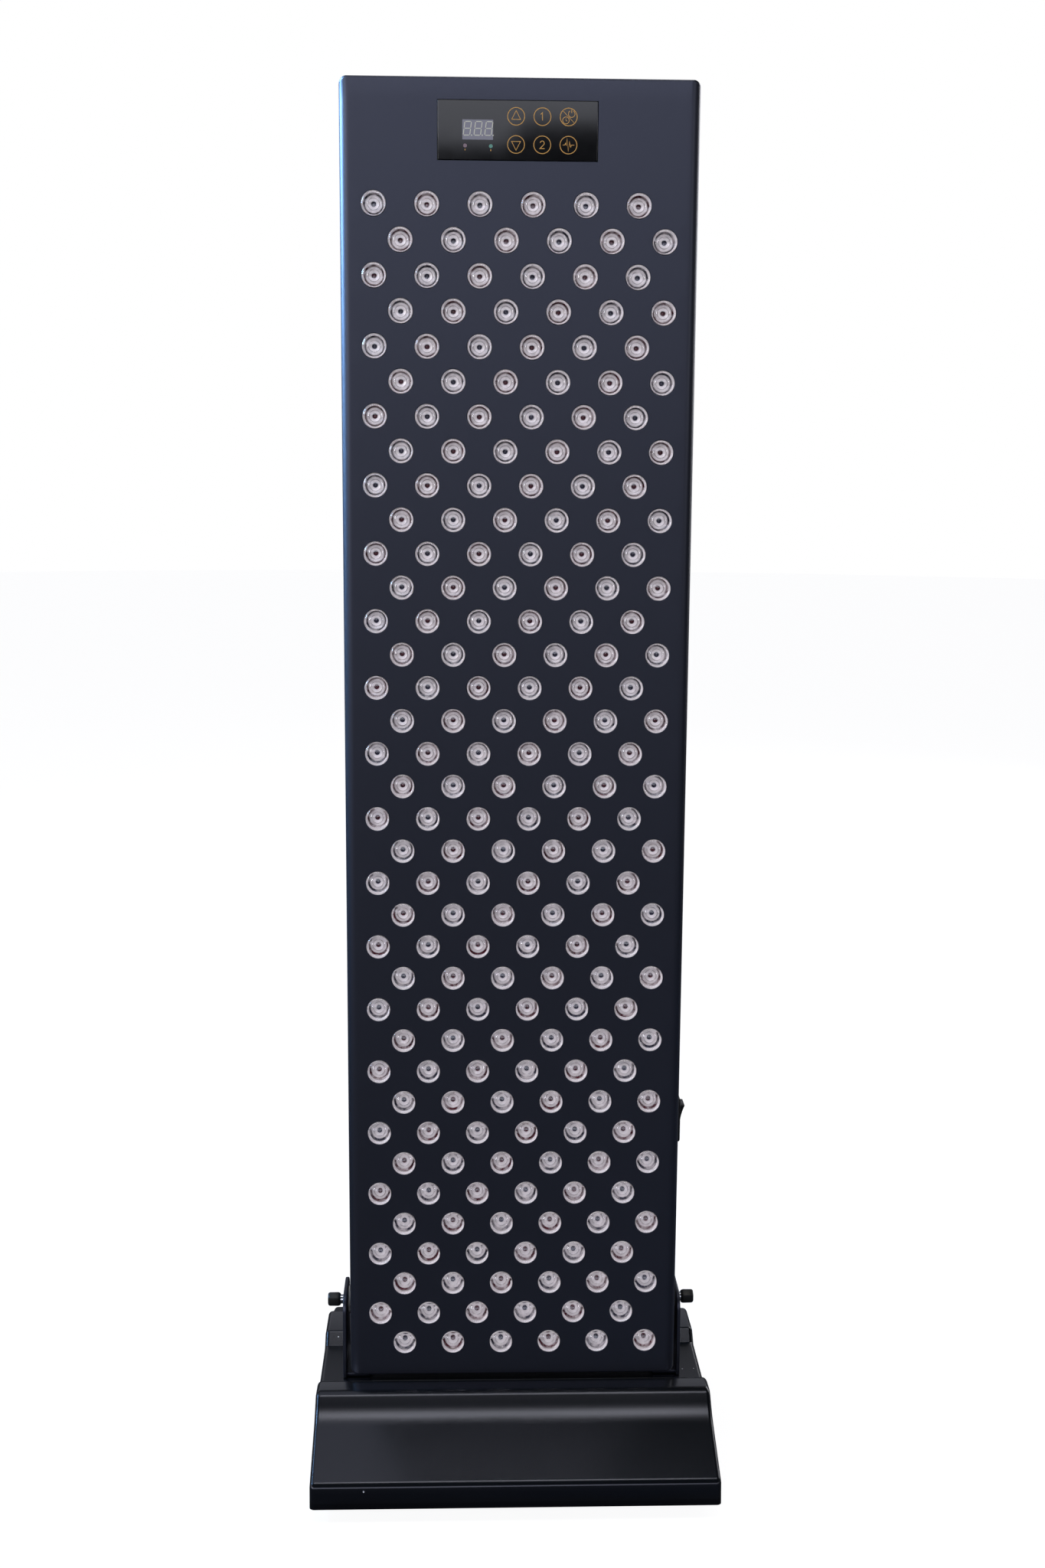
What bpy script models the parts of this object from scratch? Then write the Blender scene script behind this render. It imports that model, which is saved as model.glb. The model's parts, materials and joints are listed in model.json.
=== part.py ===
"""Red light therapy panel that tilts between two ears on a low, wide base.

The object stands on Z = 0 with its origin under the middle of the base. X runs to the right as
the user sees the lenses, Y runs away from the user and Z runs up. Every size is in metres.
The panel is a folded steel case with a perforated face. Behind the face lie lens trays, lamp
boards and one finned heat sink, and on its back plate sit four fans, two drivers and the mains
inlet. Two thumb bolts hold the panel between the ears.
"""

import math

import bmesh
import bpy
from mathutils import Matrix, Vector

# Fits and cutting
FIT = 0.0003                  # gap between two faces that touch
OVERRUN = 0.002               # how far a cutter runs past the face that it opens
ROOT = 0.0005                 # how deep an added shape is rooted in what carries it
MERGE = 0.00001               # points closer than this are one point
SHARP_ANGLE = math.radians(30)

# Lenses, in staggered rows
LENS_PITCH = 0.031
ROW_PITCH = 0.02025
ROWS = 36
COLUMNS = 6
STAGGER_SHARE = 0.25          # each row is shifted by this share of the pitch, left or right
LENS_DIAMETER = 0.0145
LENS_SIDES = 8
LENS_RIM = 0.0012             # the round side stands this far in front of the face
LENS_DOME = 0.0026            # height of the dome above the rim

# Lens trays and lamp boards
ROWS_PER_TRAY = 6
TRAY_DEPTH = 0.0048
TRAY_WALL = 0.0015
TRAY_EDGE = 0.003             # tray beyond the outermost lens
BOARD_THICKNESS = 0.0016

# Panel case of folded sheet
SHEET = 0.0012
SIDE_MARGIN = 0.01975         # outermost lens centre to the side of the case
BOTTOM_MARGIN = 0.02245       # bottom lens row to the bottom of the case
SIDE_BEND = 0.006             # radius of the two long front edges
BEND_STEPS = 4
TOP_CHAMFER = 0.0012          # the short folds at the top and bottom are almost sharp
RETURN_FLANGE = 0.014         # the case turns inwards by this much round its open back

# Heat sink
SINK_BASE = 0.003
FIN_HEIGHT = 0.012
FIN_THICKNESS = 0.0016
FIN_COUNT = 18
FIN_END_GAP = 0.010           # body of the switch to the outermost fin
AIR_GAP = 0.010               # fins to the fans

# Control pane, display and control board
PANE_WIDTH = 0.0928
PANE_HEIGHT = 0.0333
PANE_THICKNESS = 0.0018
PANE_PROUD = 0.0006
PANE_DROP = 0.0295            # top of the case to the middle of the pane
PANE_SHIFT = -0.0015
PANE_TO_LENSES = 0.02465      # bottom of the pane to the middle of the top lens row
DISPLAY_WIDTH = 0.0224
DISPLAY_HEIGHT = 0.0140
DISPLAY_DEPTH = 0.0062
DISPLAY_INSET = 0.0232        # left end of the pane to the middle of the display
CONTROL_BOARD_EDGE = 0.006    # control board beyond the pane on each side
POST_DIAMETER = 0.006
POST_SIDES = 6

# Fans on the back plate
FAN_SIZE = 0.080
FAN_DEPTH = 0.025
FAN_WALL = 0.002              # the frame's wall where it is thinnest
FAN_HEIGHT_SHARES = (0.135, 0.31, 0.66, 0.835)
FAN_SIDES = 16
MOTOR_DIAMETER = 0.034
MOTOR_PLATE = 0.004
STRUT_WIDTH = 0.005
SHAFT_DIAMETER = 0.004
SHAFT_LENGTH = 0.014
ROTOR_DEPTH = 0.018
ROTOR_TIP_GAP = 0.0015
BLADES = 7
BLADE_CHORD = 0.018
BLADE_THICKNESS = 0.0016
BLADE_PITCH = math.radians(40)
VENT_SLOT = 0.004
VENT_SLOTS = 9
VENT_EDGE = 0.003             # vents stay this far inside the fan's bore

# Two drivers on the back plate, between the middle fans
DRIVER_SIDE_GAP = 0.0098      # return flange to the drivers' ends
DRIVER_HEIGHT = 0.055
DRIVER_DEPTH = 0.029
DRIVER_SPACE = 0.016
DRIVER_BEVEL = 0.002

# Mains inlet on the back plate
INLET_RISE = 0.040            # bottom of the case to the middle of the inlet
INLET_FLANGE = (0.050, 0.030, 0.0025)
INLET_RECESS = (0.0242, 0.0166, 0.018)
INLET_WALL = 0.0019           # round the recess
INLET_BACK_WALL = 0.0022
INLET_PIN = (0.004, 0.002, 0.012)
INLET_PIN_SPREAD = 0.007
INLET_PIN_STEP = 0.002        # the middle pin sits higher and the outer two lower than the centre

# Rocker switch on the right side of the case
SWITCH_RISE = 0.1664          # bottom of the case to the middle of the switch
SWITCH_SINK_GAP = 0.0032      # base of the heat sink to the body of the switch
SWITCH_BODY_DEPTH = 0.020
SWITCH_END_WALL = 0.0017
SWITCH_SIDE_WALL = 0.0023
BEZEL_LAP = 0.0017            # the bezel laps over the case by this much all round
BEZEL_PROUD = 0.0022
ROCKER_LENGTH = 0.0196
ROCKER_WIDTH = 0.0134
ROCKER_PIVOT_DEPTH = 0.0057   # outside of the bezel to the rocker's axis
ROCKER_FACE = 0.0062          # rocker's axis to the middle of its face
ROCKER_HORN = 0.0014          # the face's two ends stand above its middle
ROCKER_FOOT = 0.0015          # rocker's axis to its flat underside
ROCKER_TILT = math.radians(8)
ROCKER_PIN_DIAMETER = 0.003
ROCKER_PIN_REACH = 0.0016     # the pins stand out of the rocker's sides by this much
SWITCH_WELL_END_GAP = 0.0013  # room at the rocker's ends for its swing
SWITCH_WELL_FLOOR_GAP = 0.0018

# Screws of the back plate
BACK_SCREWS_PER_SIDE = 4
BACK_SCREW_SHANK = 0.003
BACK_SCREW_HEAD = 0.006
BACK_SCREW_HEAD_HEIGHT = 0.0018
BACK_SCREW_LENGTH = 0.007
BACK_SCREW_SIDES = 8

# Pivot: thumb bolts, threaded inserts, washers and ears
PIVOT_SET_BACK = 0.042        # front face of the case to the pivot
PIVOT_RISE = 0.033            # bottom of the case to the pivot
BOLT_SHANK = 0.006
BOLT_REACH = 0.012            # shank inside the case
BOLT_CAP_ACROSS = 0.0098
BOLT_CAP_LENGTH = 0.0084
BOLT_CAP_SIDES = 6
BOLT_CAP_BEVEL = 0.0014
BOLT_NECK = 0.0026            # bare shank between the ear and the cap
INSERT_DIAMETER = 0.009
INSERT_FLANGE = 0.013
INSERT_FLANGE_THICKNESS = 0.0008
WASHER_DIAMETER = 0.018
WASHER_THICKNESS = 0.0016
ROUND_SIDES = 12
EAR_THICKNESS = 0.0025
EAR_END_GAP = 0.001           # the ear's foot ends this far inside the dip of the base
EAR_LEAN = 0.003              # the ear's front edge slopes back by this much
EAR_CORNER = 0.011
EAR_ABOVE_PIVOT = 0.0105
EAR_FLANGE = 0.018            # the ear's foot turns inwards by this much under the panel
EAR_FLANGE_STEP = 0.002       # the turned foot is shorter than the ear at each end
CORNER_STEPS = 4

# Screws that hold the ears, driven from beneath
BRACKET_SCREW_SHANK = 0.005
BRACKET_SCREW_HEAD = 0.009
BRACKET_SCREW_HEAD_HEIGHT = 0.003
BRACKET_SCREW_SPREAD = 0.015  # each screw lies this far in front of or behind the pivot
BRACKET_SCREW_INSET = 0.009   # ear's outer face to the screw

# Base shell: heights are above its bottom rim, places are from its front edge or the pivot
BASE_SIDE_MARGIN = 0.021      # base beyond each side of the case
BASE_DEPTH = 0.250
BASE_WALL = 0.0025
LIP_HEIGHT = 0.0147
LIP_LEAN = 0.0016
RIDGE_HEIGHT = 0.0450
COVE_DROP = 0.0098            # from the ridge down to the cove in front of it
COVE_SET_BACK = 0.0500
RIDGE_RUN = 0.0115            # from the cove back to the ridge
SHOULDER_DROP = 0.0013        # from the ridge down to the shoulder behind it
SHOULDER_RUN = 0.0175         # from the ridge back to the shoulder
DIP_DROP = 0.0091             # from the shoulder down to the dip under the panel
DIP_FRONT = 0.0265
DIP_REAR = 0.0210
STEP_RUN = 0.0085
DECK_RISE = 0.0068            # from the dip up to the deck behind it
CREST_DROP = 0.0012           # the deck falls by this much to its rear edge
LIP_RADIUS = 0.0035
COVE_RADIUS = 0.016
RIDGE_RADIUS = 0.005
SHOULDER_RADIUS = 0.018
STEP_RADIUS = 0.003
CREST_RADIUS = 0.010
BASE_END_BEVEL = 0.0026

# Floor plate and feet
FLOOR_PLATE = 0.005
FOOT_GAP = 0.0083             # floor to the shell's bottom rim
FOOT_TOP = 0.018
FOOT_BOTTOM = 0.015
FOOT_SIDE_INSET = 0.013       # side of the base to the middle of a foot
FOOT_END_INSET = 0.021        # front or rear of the base to the middle of a foot

PANEL_CLEARANCE = 0.0016      # shoulder of the base to the bottom of the case

# Places worked out from the sizes
LENS_SPAN = (COLUMNS - 1 + 2 * STAGGER_SHARE) * LENS_PITCH
PANEL_WIDTH = LENS_SPAN + 2 * SIDE_MARGIN
TOP_MARGIN = PANE_DROP + PANE_HEIGHT / 2 + PANE_TO_LENSES
PANEL_HEIGHT = TOP_MARGIN + (ROWS - 1) * ROW_PITCH + BOTTOM_MARGIN
PANEL_SIDE = PANEL_WIDTH / 2
COVE_HEIGHT = RIDGE_HEIGHT - COVE_DROP
SHOULDER_HEIGHT = RIDGE_HEIGHT - SHOULDER_DROP
DIP_HEIGHT = SHOULDER_HEIGHT - DIP_DROP
DECK_HEIGHT = DIP_HEIGHT + DECK_RISE
CREST_HEIGHT = DECK_HEIGHT - CREST_DROP
PANEL_BOTTOM = FOOT_GAP + SHOULDER_HEIGHT + PANEL_CLEARANCE
PANEL_TOP = PANEL_BOTTOM + PANEL_HEIGHT
PANEL_FRONT = -PIVOT_SET_BACK
PIVOT_HEIGHT = PANEL_BOTTOM + PIVOT_RISE
FACE_INSIDE = PANEL_FRONT + SHEET
TRAY_FRONT = FACE_INSIDE + FIT
TRAY_BACK = TRAY_FRONT + TRAY_DEPTH
BOARD_FRONT = TRAY_BACK + FIT
SINK_FRONT = BOARD_FRONT + BOARD_THICKNESS + FIT
SINK_BACK = SINK_FRONT + SINK_BASE + FIN_HEIGHT
CASE_BACK = SINK_BACK + AIR_GAP + FAN_DEPTH
PLATE_FRONT = CASE_BACK + FIT
PANEL_BACK = PLATE_FRONT + SHEET
FIN_SPAN = PANEL_WIDTH - 2 * (SWITCH_BODY_DEPTH + FIN_END_GAP)
FAN_BORE = FAN_SIZE - 2 * FAN_WALL
DRIVER_WIDTH = PANEL_WIDTH - 2 * (SHEET + RETURN_FLANGE + DRIVER_SIDE_GAP)
TRAY_HALF_WIDTH = (LENS_SPAN + LENS_DIAMETER) / 2 + TRAY_EDGE
PANE_CENTRE = Vector((PANE_SHIFT, 0, PANEL_TOP - PANE_DROP))
PANE_BACK = PANEL_FRONT - PANE_PROUD + PANE_THICKNESS
DISPLAY_FRONT = PANE_BACK + FIT
CONTROL_BOARD_FRONT = DISPLAY_FRONT + DISPLAY_DEPTH + FIT
INLET_CENTRE = Vector((0, PANEL_BACK, PANEL_BOTTOM + INLET_RISE))
INLET_BODY = (INLET_RECESS[0] + 2 * INLET_WALL, INLET_RECESS[1] + 2 * INLET_WALL)
SWITCH_BODY_HEIGHT = ROCKER_LENGTH + 2 * (SWITCH_WELL_END_GAP + SWITCH_END_WALL)
SWITCH_BODY_WIDTH = ROCKER_WIDTH + 2 * (FIT + SWITCH_SIDE_WALL)
BEZEL_HEIGHT = SWITCH_BODY_HEIGHT + 2 * BEZEL_LAP
BEZEL_WIDTH = SWITCH_BODY_WIDTH + 2 * BEZEL_LAP
ROCKER_PIN_LENGTH = ROCKER_WIDTH + 2 * ROCKER_PIN_REACH
SWITCH_DEPTH = SINK_FRONT + SINK_BASE + SWITCH_SINK_GAP + SWITCH_BODY_WIDTH / 2
SWITCH_CENTRE = Vector((PANEL_SIDE, SWITCH_DEPTH, PANEL_BOTTOM + SWITCH_RISE))
ROCKER_AXIS = SWITCH_CENTRE + Vector((BEZEL_PROUD - ROCKER_PIVOT_DEPTH, 0, 0))
SCREW_COLUMN = PANEL_SIDE - (SHEET + RETURN_FLANGE) / 2
INSERT_OUTSIDE = PANEL_SIDE + FIT + INSERT_FLANGE_THICKNESS
WASHER_INSIDE = INSERT_OUTSIDE + FIT
EAR_INSIDE = WASHER_INSIDE + WASHER_THICKNESS + FIT
EAR_OUTSIDE = EAR_INSIDE + EAR_THICKNESS
BASE_HALF_WIDTH = PANEL_SIDE + BASE_SIDE_MARGIN
RIDGE_SET_BACK = COVE_SET_BACK + RIDGE_RUN
SHOULDER_SET_BACK = RIDGE_SET_BACK + SHOULDER_RUN
DIP_FLOOR = FOOT_GAP + DIP_HEIGHT
EAR_FOOT = DIP_FLOOR + FIT
EAR_FOOT_FRONT = DIP_FRONT - EAR_END_GAP
EAR_TOP_FRONT = EAR_FOOT_FRONT - EAR_LEAN
EAR_REAR = DIP_REAR - EAR_END_GAP

PAINT = ("matt_black_paint", (0.030, 0.031, 0.042), 0.48, 0.1)
BASE_PAINT = ("satin_black_paint", (0.022, 0.023, 0.028), 0.38, 0.1)
CLEAR = ("clear_lens_plastic", (0.80, 0.79, 0.82), 0.12, 0.0)
GLOSS = ("gloss_black_pane", (0.010, 0.010, 0.012), 0.06, 0.0)
DISPLAY = ("display_plastic", (0.50, 0.51, 0.55), 0.35, 0.0)
BOARD = ("circuit_board", (0.75, 0.76, 0.74), 0.45, 0.0)
ALUMINIUM = ("bare_aluminium", (0.66, 0.67, 0.69), 0.35, 1.0)
PLASTIC = ("black_plastic", (0.014, 0.014, 0.015), 0.42, 0.0)
STEEL = ("zinc_plated_steel", (0.55, 0.56, 0.58), 0.28, 1.0)
RUBBER = ("black_rubber", (0.012, 0.012, 0.012), 0.80, 0.0)
NYLON = ("white_nylon", (0.70, 0.70, 0.68), 0.50, 0.0)


def clear_scene():
    """Removes what the new file holds."""
    for thing in list(bpy.data.objects):
        bpy.data.objects.remove(thing, do_unlink=True)


def make_collection(name):
    group = bpy.data.collections.new(name)
    bpy.context.scene.collection.children.link(group)
    return group


def make_material(finish, piece):
    """Each piece has a material of its own, in the finish that it shares with others."""
    name, colour, roughness, metallic = finish
    material = bpy.data.materials.new(f"{piece}_{name}")
    material.use_nodes = True
    shader = material.node_tree.nodes["Principled BSDF"]
    shader.inputs["Base Color"].default_value = (*colour, 1)
    shader.inputs["Roughness"].default_value = roughness
    shader.inputs["Metallic"].default_value = metallic
    return material


# Shapes, in world coordinates, as bmeshes

def box(low, high):
    """A block between two corners."""
    low, high = Vector(low), Vector(high)
    shape = bmesh.new()
    matrix = Matrix.Translation((low + high) / 2) @ Matrix.Diagonal((*(high - low), 1))
    bmesh.ops.create_cube(shape, size=1, matrix=matrix)
    return shape


def block(centre, size):
    """A block about its middle."""
    centre, half = Vector(centre), Vector(size) / 2
    return box(centre - half, centre + half)


def rod(start, end, radius, sides, tip_radius=None):
    """A round bar, or a cone where the tip has a radius of its own, between two points."""
    start, end = Vector(start), Vector(end)
    along = end - start
    turn = along.to_track_quat("Z", "Y").to_matrix().to_4x4()
    shape = bmesh.new()
    bmesh.ops.create_cone(shape, cap_ends=True, segments=sides, radius1=radius,
                          radius2=radius if tip_radius is None else tip_radius,
                          depth=along.length, matrix=Matrix.Translation((start + end) / 2) @ turn)
    return shape


def joined(shapes):
    """Several loose shapes in one bmesh, for use as a cutter or as what is added to a piece."""
    whole = bmesh.new()
    for shape in shapes:
        mesh = bpy.data.meshes.new("shape")
        shape.to_mesh(mesh)
        shape.free()
        whole.from_mesh(mesh)
        bpy.data.meshes.remove(mesh)
    return whole


def facing_out(shape):
    """Merges a closed shape's doubled points and points its faces outwards."""
    bmesh.ops.remove_doubles(shape, verts=shape.verts, dist=MERGE)
    bmesh.ops.recalc_face_normals(shape, faces=shape.faces)
    if shape.calc_volume(signed=True) < 0:
        bmesh.ops.reverse_faces(shape, faces=shape.faces)
    return shape


def extruded(outline, depth, matrix):
    """A flat outline, as thick as depth about its own plane, laid in place by the matrix."""
    curve = bpy.data.curves.new("outline", "CURVE")
    curve.dimensions = "2D"
    curve.fill_mode = "BOTH"
    curve.extrude = depth / 2
    spline = curve.splines.new("POLY")
    spline.points.add(len(outline) - 1)
    for point, (x, y) in zip(spline.points, outline):
        point.co = (x, y, 0, 1)
    spline.use_cyclic_u = True
    guide = bpy.data.objects.new("outline", curve)
    bpy.context.scene.collection.objects.link(guide)
    guide.matrix_world = matrix
    bpy.context.view_layer.update()
    graph = bpy.context.evaluated_depsgraph_get()
    mesh = bpy.data.meshes.new_from_object(guide.evaluated_get(graph))
    shape = bmesh.new()
    shape.from_mesh(mesh)
    shape.transform(guide.matrix_world)
    bpy.data.objects.remove(guide)
    bpy.data.curves.remove(curve)
    bpy.data.meshes.remove(mesh)
    return facing_out(shape)


def axes(x_axis, y_axis, centre):
    """The matrix that lays an outline's x and y along two world axes about a centre."""
    x_axis, y_axis = Vector(x_axis), Vector(y_axis)
    turn = Matrix((x_axis, y_axis, x_axis.cross(y_axis))).transposed().to_4x4()
    return Matrix.Translation(centre) @ turn


def rounded(corners, steps):
    """Rounds the corners (x, y, radius) of an outline, each by an arc of so many steps."""
    points = []
    for index, (x, y, radius) in enumerate(corners):
        corner = Vector((x, y))
        if radius <= 0:
            points.append(tuple(corner))
            continue
        before = Vector(corners[index - 1][:2]) - corner
        after = Vector(corners[(index + 1) % len(corners)][:2]) - corner
        half_angle = before.angle(after) / 2
        reach = min(radius / math.tan(half_angle), before.length / 2, after.length / 2)
        start, end = corner + before.normalized() * reach, corner + after.normalized() * reach
        middle = (before.normalized() + after.normalized()).normalized()
        centre = corner + middle * reach / math.cos(half_angle)
        first, last = start - centre, end - centre
        sweep = first.angle_signed(last)
        for step in range(steps + 1):
            points.append(tuple(centre + Matrix.Rotation(-sweep * step / steps, 2) @ first))
    return points


def bevelled(shape, width, steps, keep):
    """Rounds the edges that keep picks by their two ends."""
    edges = [edge for edge in shape.edges if keep(edge.verts[0].co, edge.verts[1].co)]
    bmesh.ops.bevel(shape, geom=edges, offset=width, segments=steps, profile=0.5,
                    affect="EDGES", clamp_overlap=True)
    return shape


class Workshop:
    """Holds the two collections, and makes named pieces and their cutters."""

    def __init__(self):
        self.parts = make_collection("red_light_therapy_panel")
        self.cutters = make_collection("cutters")

    def carrier(self, name, place):
        """An empty on a joint's axis, which the moving pieces hang on."""
        empty = bpy.data.objects.new(name, None)
        self.parts.objects.link(empty)
        empty.location = place
        bpy.context.view_layer.update()
        return empty

    def hang(self, child, parent):
        child.parent = parent
        child.matrix_parent_inverse = parent.matrix_world.inverted()

    def piece(self, name, shape, finish, parent, origin=(0, 0, 0), smooth=False):
        """A named solid, from a shape in world coordinates, with its origin where asked."""
        mesh = bpy.data.meshes.new(name)
        shape.transform(Matrix.Translation(-Vector(origin)))
        shape.to_mesh(mesh)
        shape.free()
        mesh.materials.append(make_material(finish, name))
        solid = bpy.data.objects.new(name, mesh)
        self.parts.objects.link(solid)
        solid.location = origin
        bpy.context.view_layer.update()
        if parent:
            self.hang(solid, parent)
        mesh.shade_flat()
        if smooth:
            mesh.shade_smooth()
            mesh.set_sharp_from_angle(angle=SHARP_ANGLE)
        return solid

    def boolean(self, solid, shape, operation):
        """Cuts a shape from a solid or adds it to the solid."""
        mesh = bpy.data.meshes.new(f"{solid.name}_{operation.lower()}")
        shape.to_mesh(mesh)
        shape.free()
        tool = bpy.data.objects.new(mesh.name, mesh)
        self.cutters.objects.link(tool)
        tool.hide_render = True
        tool.display_type = "WIRE"
        modifier = solid.modifiers.new(operation.lower(), "BOOLEAN")
        modifier.operation = operation
        modifier.solver = "EXACT"
        modifier.object = tool

    def cut(self, solid, *shapes):
        self.boolean(solid, joined(shapes), "DIFFERENCE")

    def add(self, solid, *shapes):
        self.boolean(solid, joined(shapes), "UNION")


def turned(profile, start, direction, sides):
    """Turns a profile of (radius, distance from the start) pairs about an axis.

    The profile runs down the outer side. One that starts and ends on the axis makes a solid,
    and any other is closed into a ring.
    """
    top = max(distance for _, distance in profile)
    points = [(radius, 0, top - distance) for radius, distance in profile]
    ring = profile[0][0] > 0
    edges = [(index, index + 1) for index in range(len(points) - 1)]
    if ring:
        edges.append((len(points) - 1, 0))
    mesh = bpy.data.meshes.new("profile")
    mesh.from_pydata(points, edges, [])
    guide = bpy.data.objects.new("profile", mesh)
    bpy.context.scene.collection.objects.link(guide)
    screw = guide.modifiers.new("turn", "SCREW")
    screw.steps = screw.render_steps = sides
    screw.use_merge_vertices = True
    screw.merge_threshold = MERGE
    bpy.context.view_layer.update()
    graph = bpy.context.evaluated_depsgraph_get()
    whole = bpy.data.meshes.new_from_object(guide.evaluated_get(graph))
    shape = bmesh.new()
    shape.from_mesh(whole)
    direction = Vector(direction).normalized()
    turn = (-direction).to_track_quat("Z", "Y").to_matrix().to_4x4()
    shape.transform(Matrix.Translation(Vector(start) + direction * top) @ turn)
    bpy.data.objects.remove(guide)
    bpy.data.meshes.remove(mesh)
    bpy.data.meshes.remove(whole)
    return facing_out(shape)


def screw_profile(shank, head, head_height, length):
    """Profile of a screw: a flat head and a plain shank, from the top of the head."""
    return [(0, 0), (head / 2, 0), (head / 2, head_height), (shank / 2, head_height),
            (shank / 2, head_height + length), (0, head_height + length)]


def ring_profile(outer, inner, length):
    return [(outer / 2, 0), (outer / 2, length), (inner / 2, length), (inner / 2, 0)]


# Where the lenses are

def row_height(row):
    return PANEL_TOP - TOP_MARGIN - row * ROW_PITCH


def lens_places(rows):
    """The middles of the lenses in some rows, as (x, z) pairs."""
    places = []
    for row in rows:
        shift = STAGGER_SHARE if row % 2 else -STAGGER_SHARE
        for column in range(COLUMNS):
            places.append(((column - (COLUMNS - 1) / 2 + shift) * LENS_PITCH, row_height(row)))
    return places


def case_section(inset, back):
    """The case seen from above: two rounded front edges and a square back, shrunk by inset."""
    side, front, bend = PANEL_SIDE - inset, PANEL_FRONT + inset, SIDE_BEND - inset
    corners = [(-side, back, 0), (-side, front, bend), (side, front, bend), (side, back, 0)]
    return rounded(corners, BEND_STEPS)


def upright(outline, bottom, top):
    """An outline seen from above, made a solid between two heights."""
    return extruded(outline, top - bottom, Matrix.Translation((0, 0, (bottom + top) / 2)))


def back_screw_places():
    """Two columns of screws, spread evenly over the height of the case."""
    inset = (SHEET + RETURN_FLANGE) / 2
    low, high = PANEL_BOTTOM + inset, PANEL_TOP - inset
    places = []
    for side in (-1, 1):
        for index in range(BACK_SCREWS_PER_SIDE):
            share = index / (BACK_SCREWS_PER_SIDE - 1)
            places.append((side * SCREW_COLUMN, low + (high - low) * share))
    return places


def build_front_cover(shop, panel):
    """The folded case: a perforated face, four sides and a return flange round the back."""
    outside = upright(case_section(0, CASE_BACK), PANEL_BOTTOM, PANEL_TOP)
    bevelled(outside, TOP_CHAMFER, 1,
             lambda a, b: abs(a.z - b.z) < MERGE and max(a.y, b.y) < CASE_BACK - MERGE)
    cover = shop.piece("front_cover", outside, PAINT, panel)
    flange_front = CASE_BACK - SHEET
    rim = SHEET + RETURN_FLANGE
    shop.cut(cover, upright(case_section(SHEET, flange_front),
                            PANEL_BOTTOM + SHEET, PANEL_TOP - SHEET))
    shop.cut(cover, box((rim - PANEL_SIDE, flange_front - OVERRUN, PANEL_BOTTOM + rim),
                        (PANEL_SIDE - rim, CASE_BACK + OVERRUN, PANEL_TOP - rim)))
    front, back = PANEL_FRONT - OVERRUN, FACE_INSIDE + OVERRUN
    holes = [rod((x, front, z), (x, back, z), LENS_DIAMETER / 2 + FIT, LENS_SIDES)
             for x, z in lens_places(range(ROWS))]
    shop.cut(cover, *holes)
    window = Vector((PANE_WIDTH / 2 + FIT, 0, PANE_HEIGHT / 2 + FIT))
    shop.cut(cover, box(PANE_CENTRE - window + Vector((0, front, 0)),
                        PANE_CENTRE + window + Vector((0, back, 0))))
    inside = PANEL_SIDE - SHEET - OVERRUN
    bores = [rod((side * inside, 0, PIVOT_HEIGHT), (side * (PANEL_SIDE + OVERRUN), 0, PIVOT_HEIGHT),
                 INSERT_DIAMETER / 2 + FIT, ROUND_SIDES) for side in (-1, 1)]
    shop.cut(cover, *bores)
    shop.cut(cover, box((inside, SWITCH_CENTRE.y - SWITCH_BODY_WIDTH / 2 - FIT,
                         SWITCH_CENTRE.z - SWITCH_BODY_HEIGHT / 2 - FIT),
                        (PANEL_SIDE + OVERRUN, SWITCH_CENTRE.y + SWITCH_BODY_WIDTH / 2 + FIT,
                         SWITCH_CENTRE.z + SWITCH_BODY_HEIGHT / 2 + FIT)))
    shop.cut(cover, *[rod((x, flange_front - OVERRUN, z), (x, CASE_BACK + OVERRUN, z),
                          BACK_SCREW_SHANK / 2 + FIT, BACK_SCREW_SIDES)
                      for x, z in back_screw_places()])


def build_lens_trays(shop, panel):
    """Clear trays of domed lenses, which press against the inside of the face."""
    for tray in range(ROWS // ROWS_PER_TRAY):
        rows = range(tray * ROWS_PER_TRAY, (tray + 1) * ROWS_PER_TRAY)
        top = row_height(rows[0]) + (ROW_PITCH - FIT) / 2
        bottom = row_height(rows[-1]) - (ROW_PITCH - FIT) / 2
        solid = shop.piece(f"lens_tray_{tray + 1}",
                           box((-TRAY_HALF_WIDTH, TRAY_FRONT, bottom),
                               (TRAY_HALF_WIDTH, TRAY_BACK, top)), CLEAR, panel)
        shop.cut(solid, box((TRAY_WALL - TRAY_HALF_WIDTH, TRAY_FRONT + TRAY_WALL,
                             bottom + TRAY_WALL),
                            (TRAY_HALF_WIDTH - TRAY_WALL, TRAY_BACK + OVERRUN, top - TRAY_WALL)))
        foot, rim = TRAY_FRONT + ROOT, PANEL_FRONT - LENS_RIM
        shop.add(solid, *[turned([(0, 0), (LENS_DIAMETER / 2, LENS_DOME),
                                  (LENS_DIAMETER / 2, LENS_DOME + foot - rim),
                                  (0, LENS_DOME + foot - rim)],
                                 (x, rim - LENS_DOME, z), (0, 1, 0), LENS_SIDES)
                          for x, z in lens_places(rows)])


def build_lamp_boards(shop, panel):
    """One metal-core board of lamp chips behind each tray."""
    for board in range(ROWS // ROWS_PER_TRAY):
        top = row_height(board * ROWS_PER_TRAY) + (ROW_PITCH - FIT) / 2
        bottom = row_height((board + 1) * ROWS_PER_TRAY - 1) - (ROW_PITCH - FIT) / 2
        shop.piece(f"led_board_{board + 1}",
                   box((-TRAY_HALF_WIDTH, BOARD_FRONT, bottom),
                       (TRAY_HALF_WIDTH, BOARD_FRONT + BOARD_THICKNESS, top)), BOARD, panel)


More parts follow.
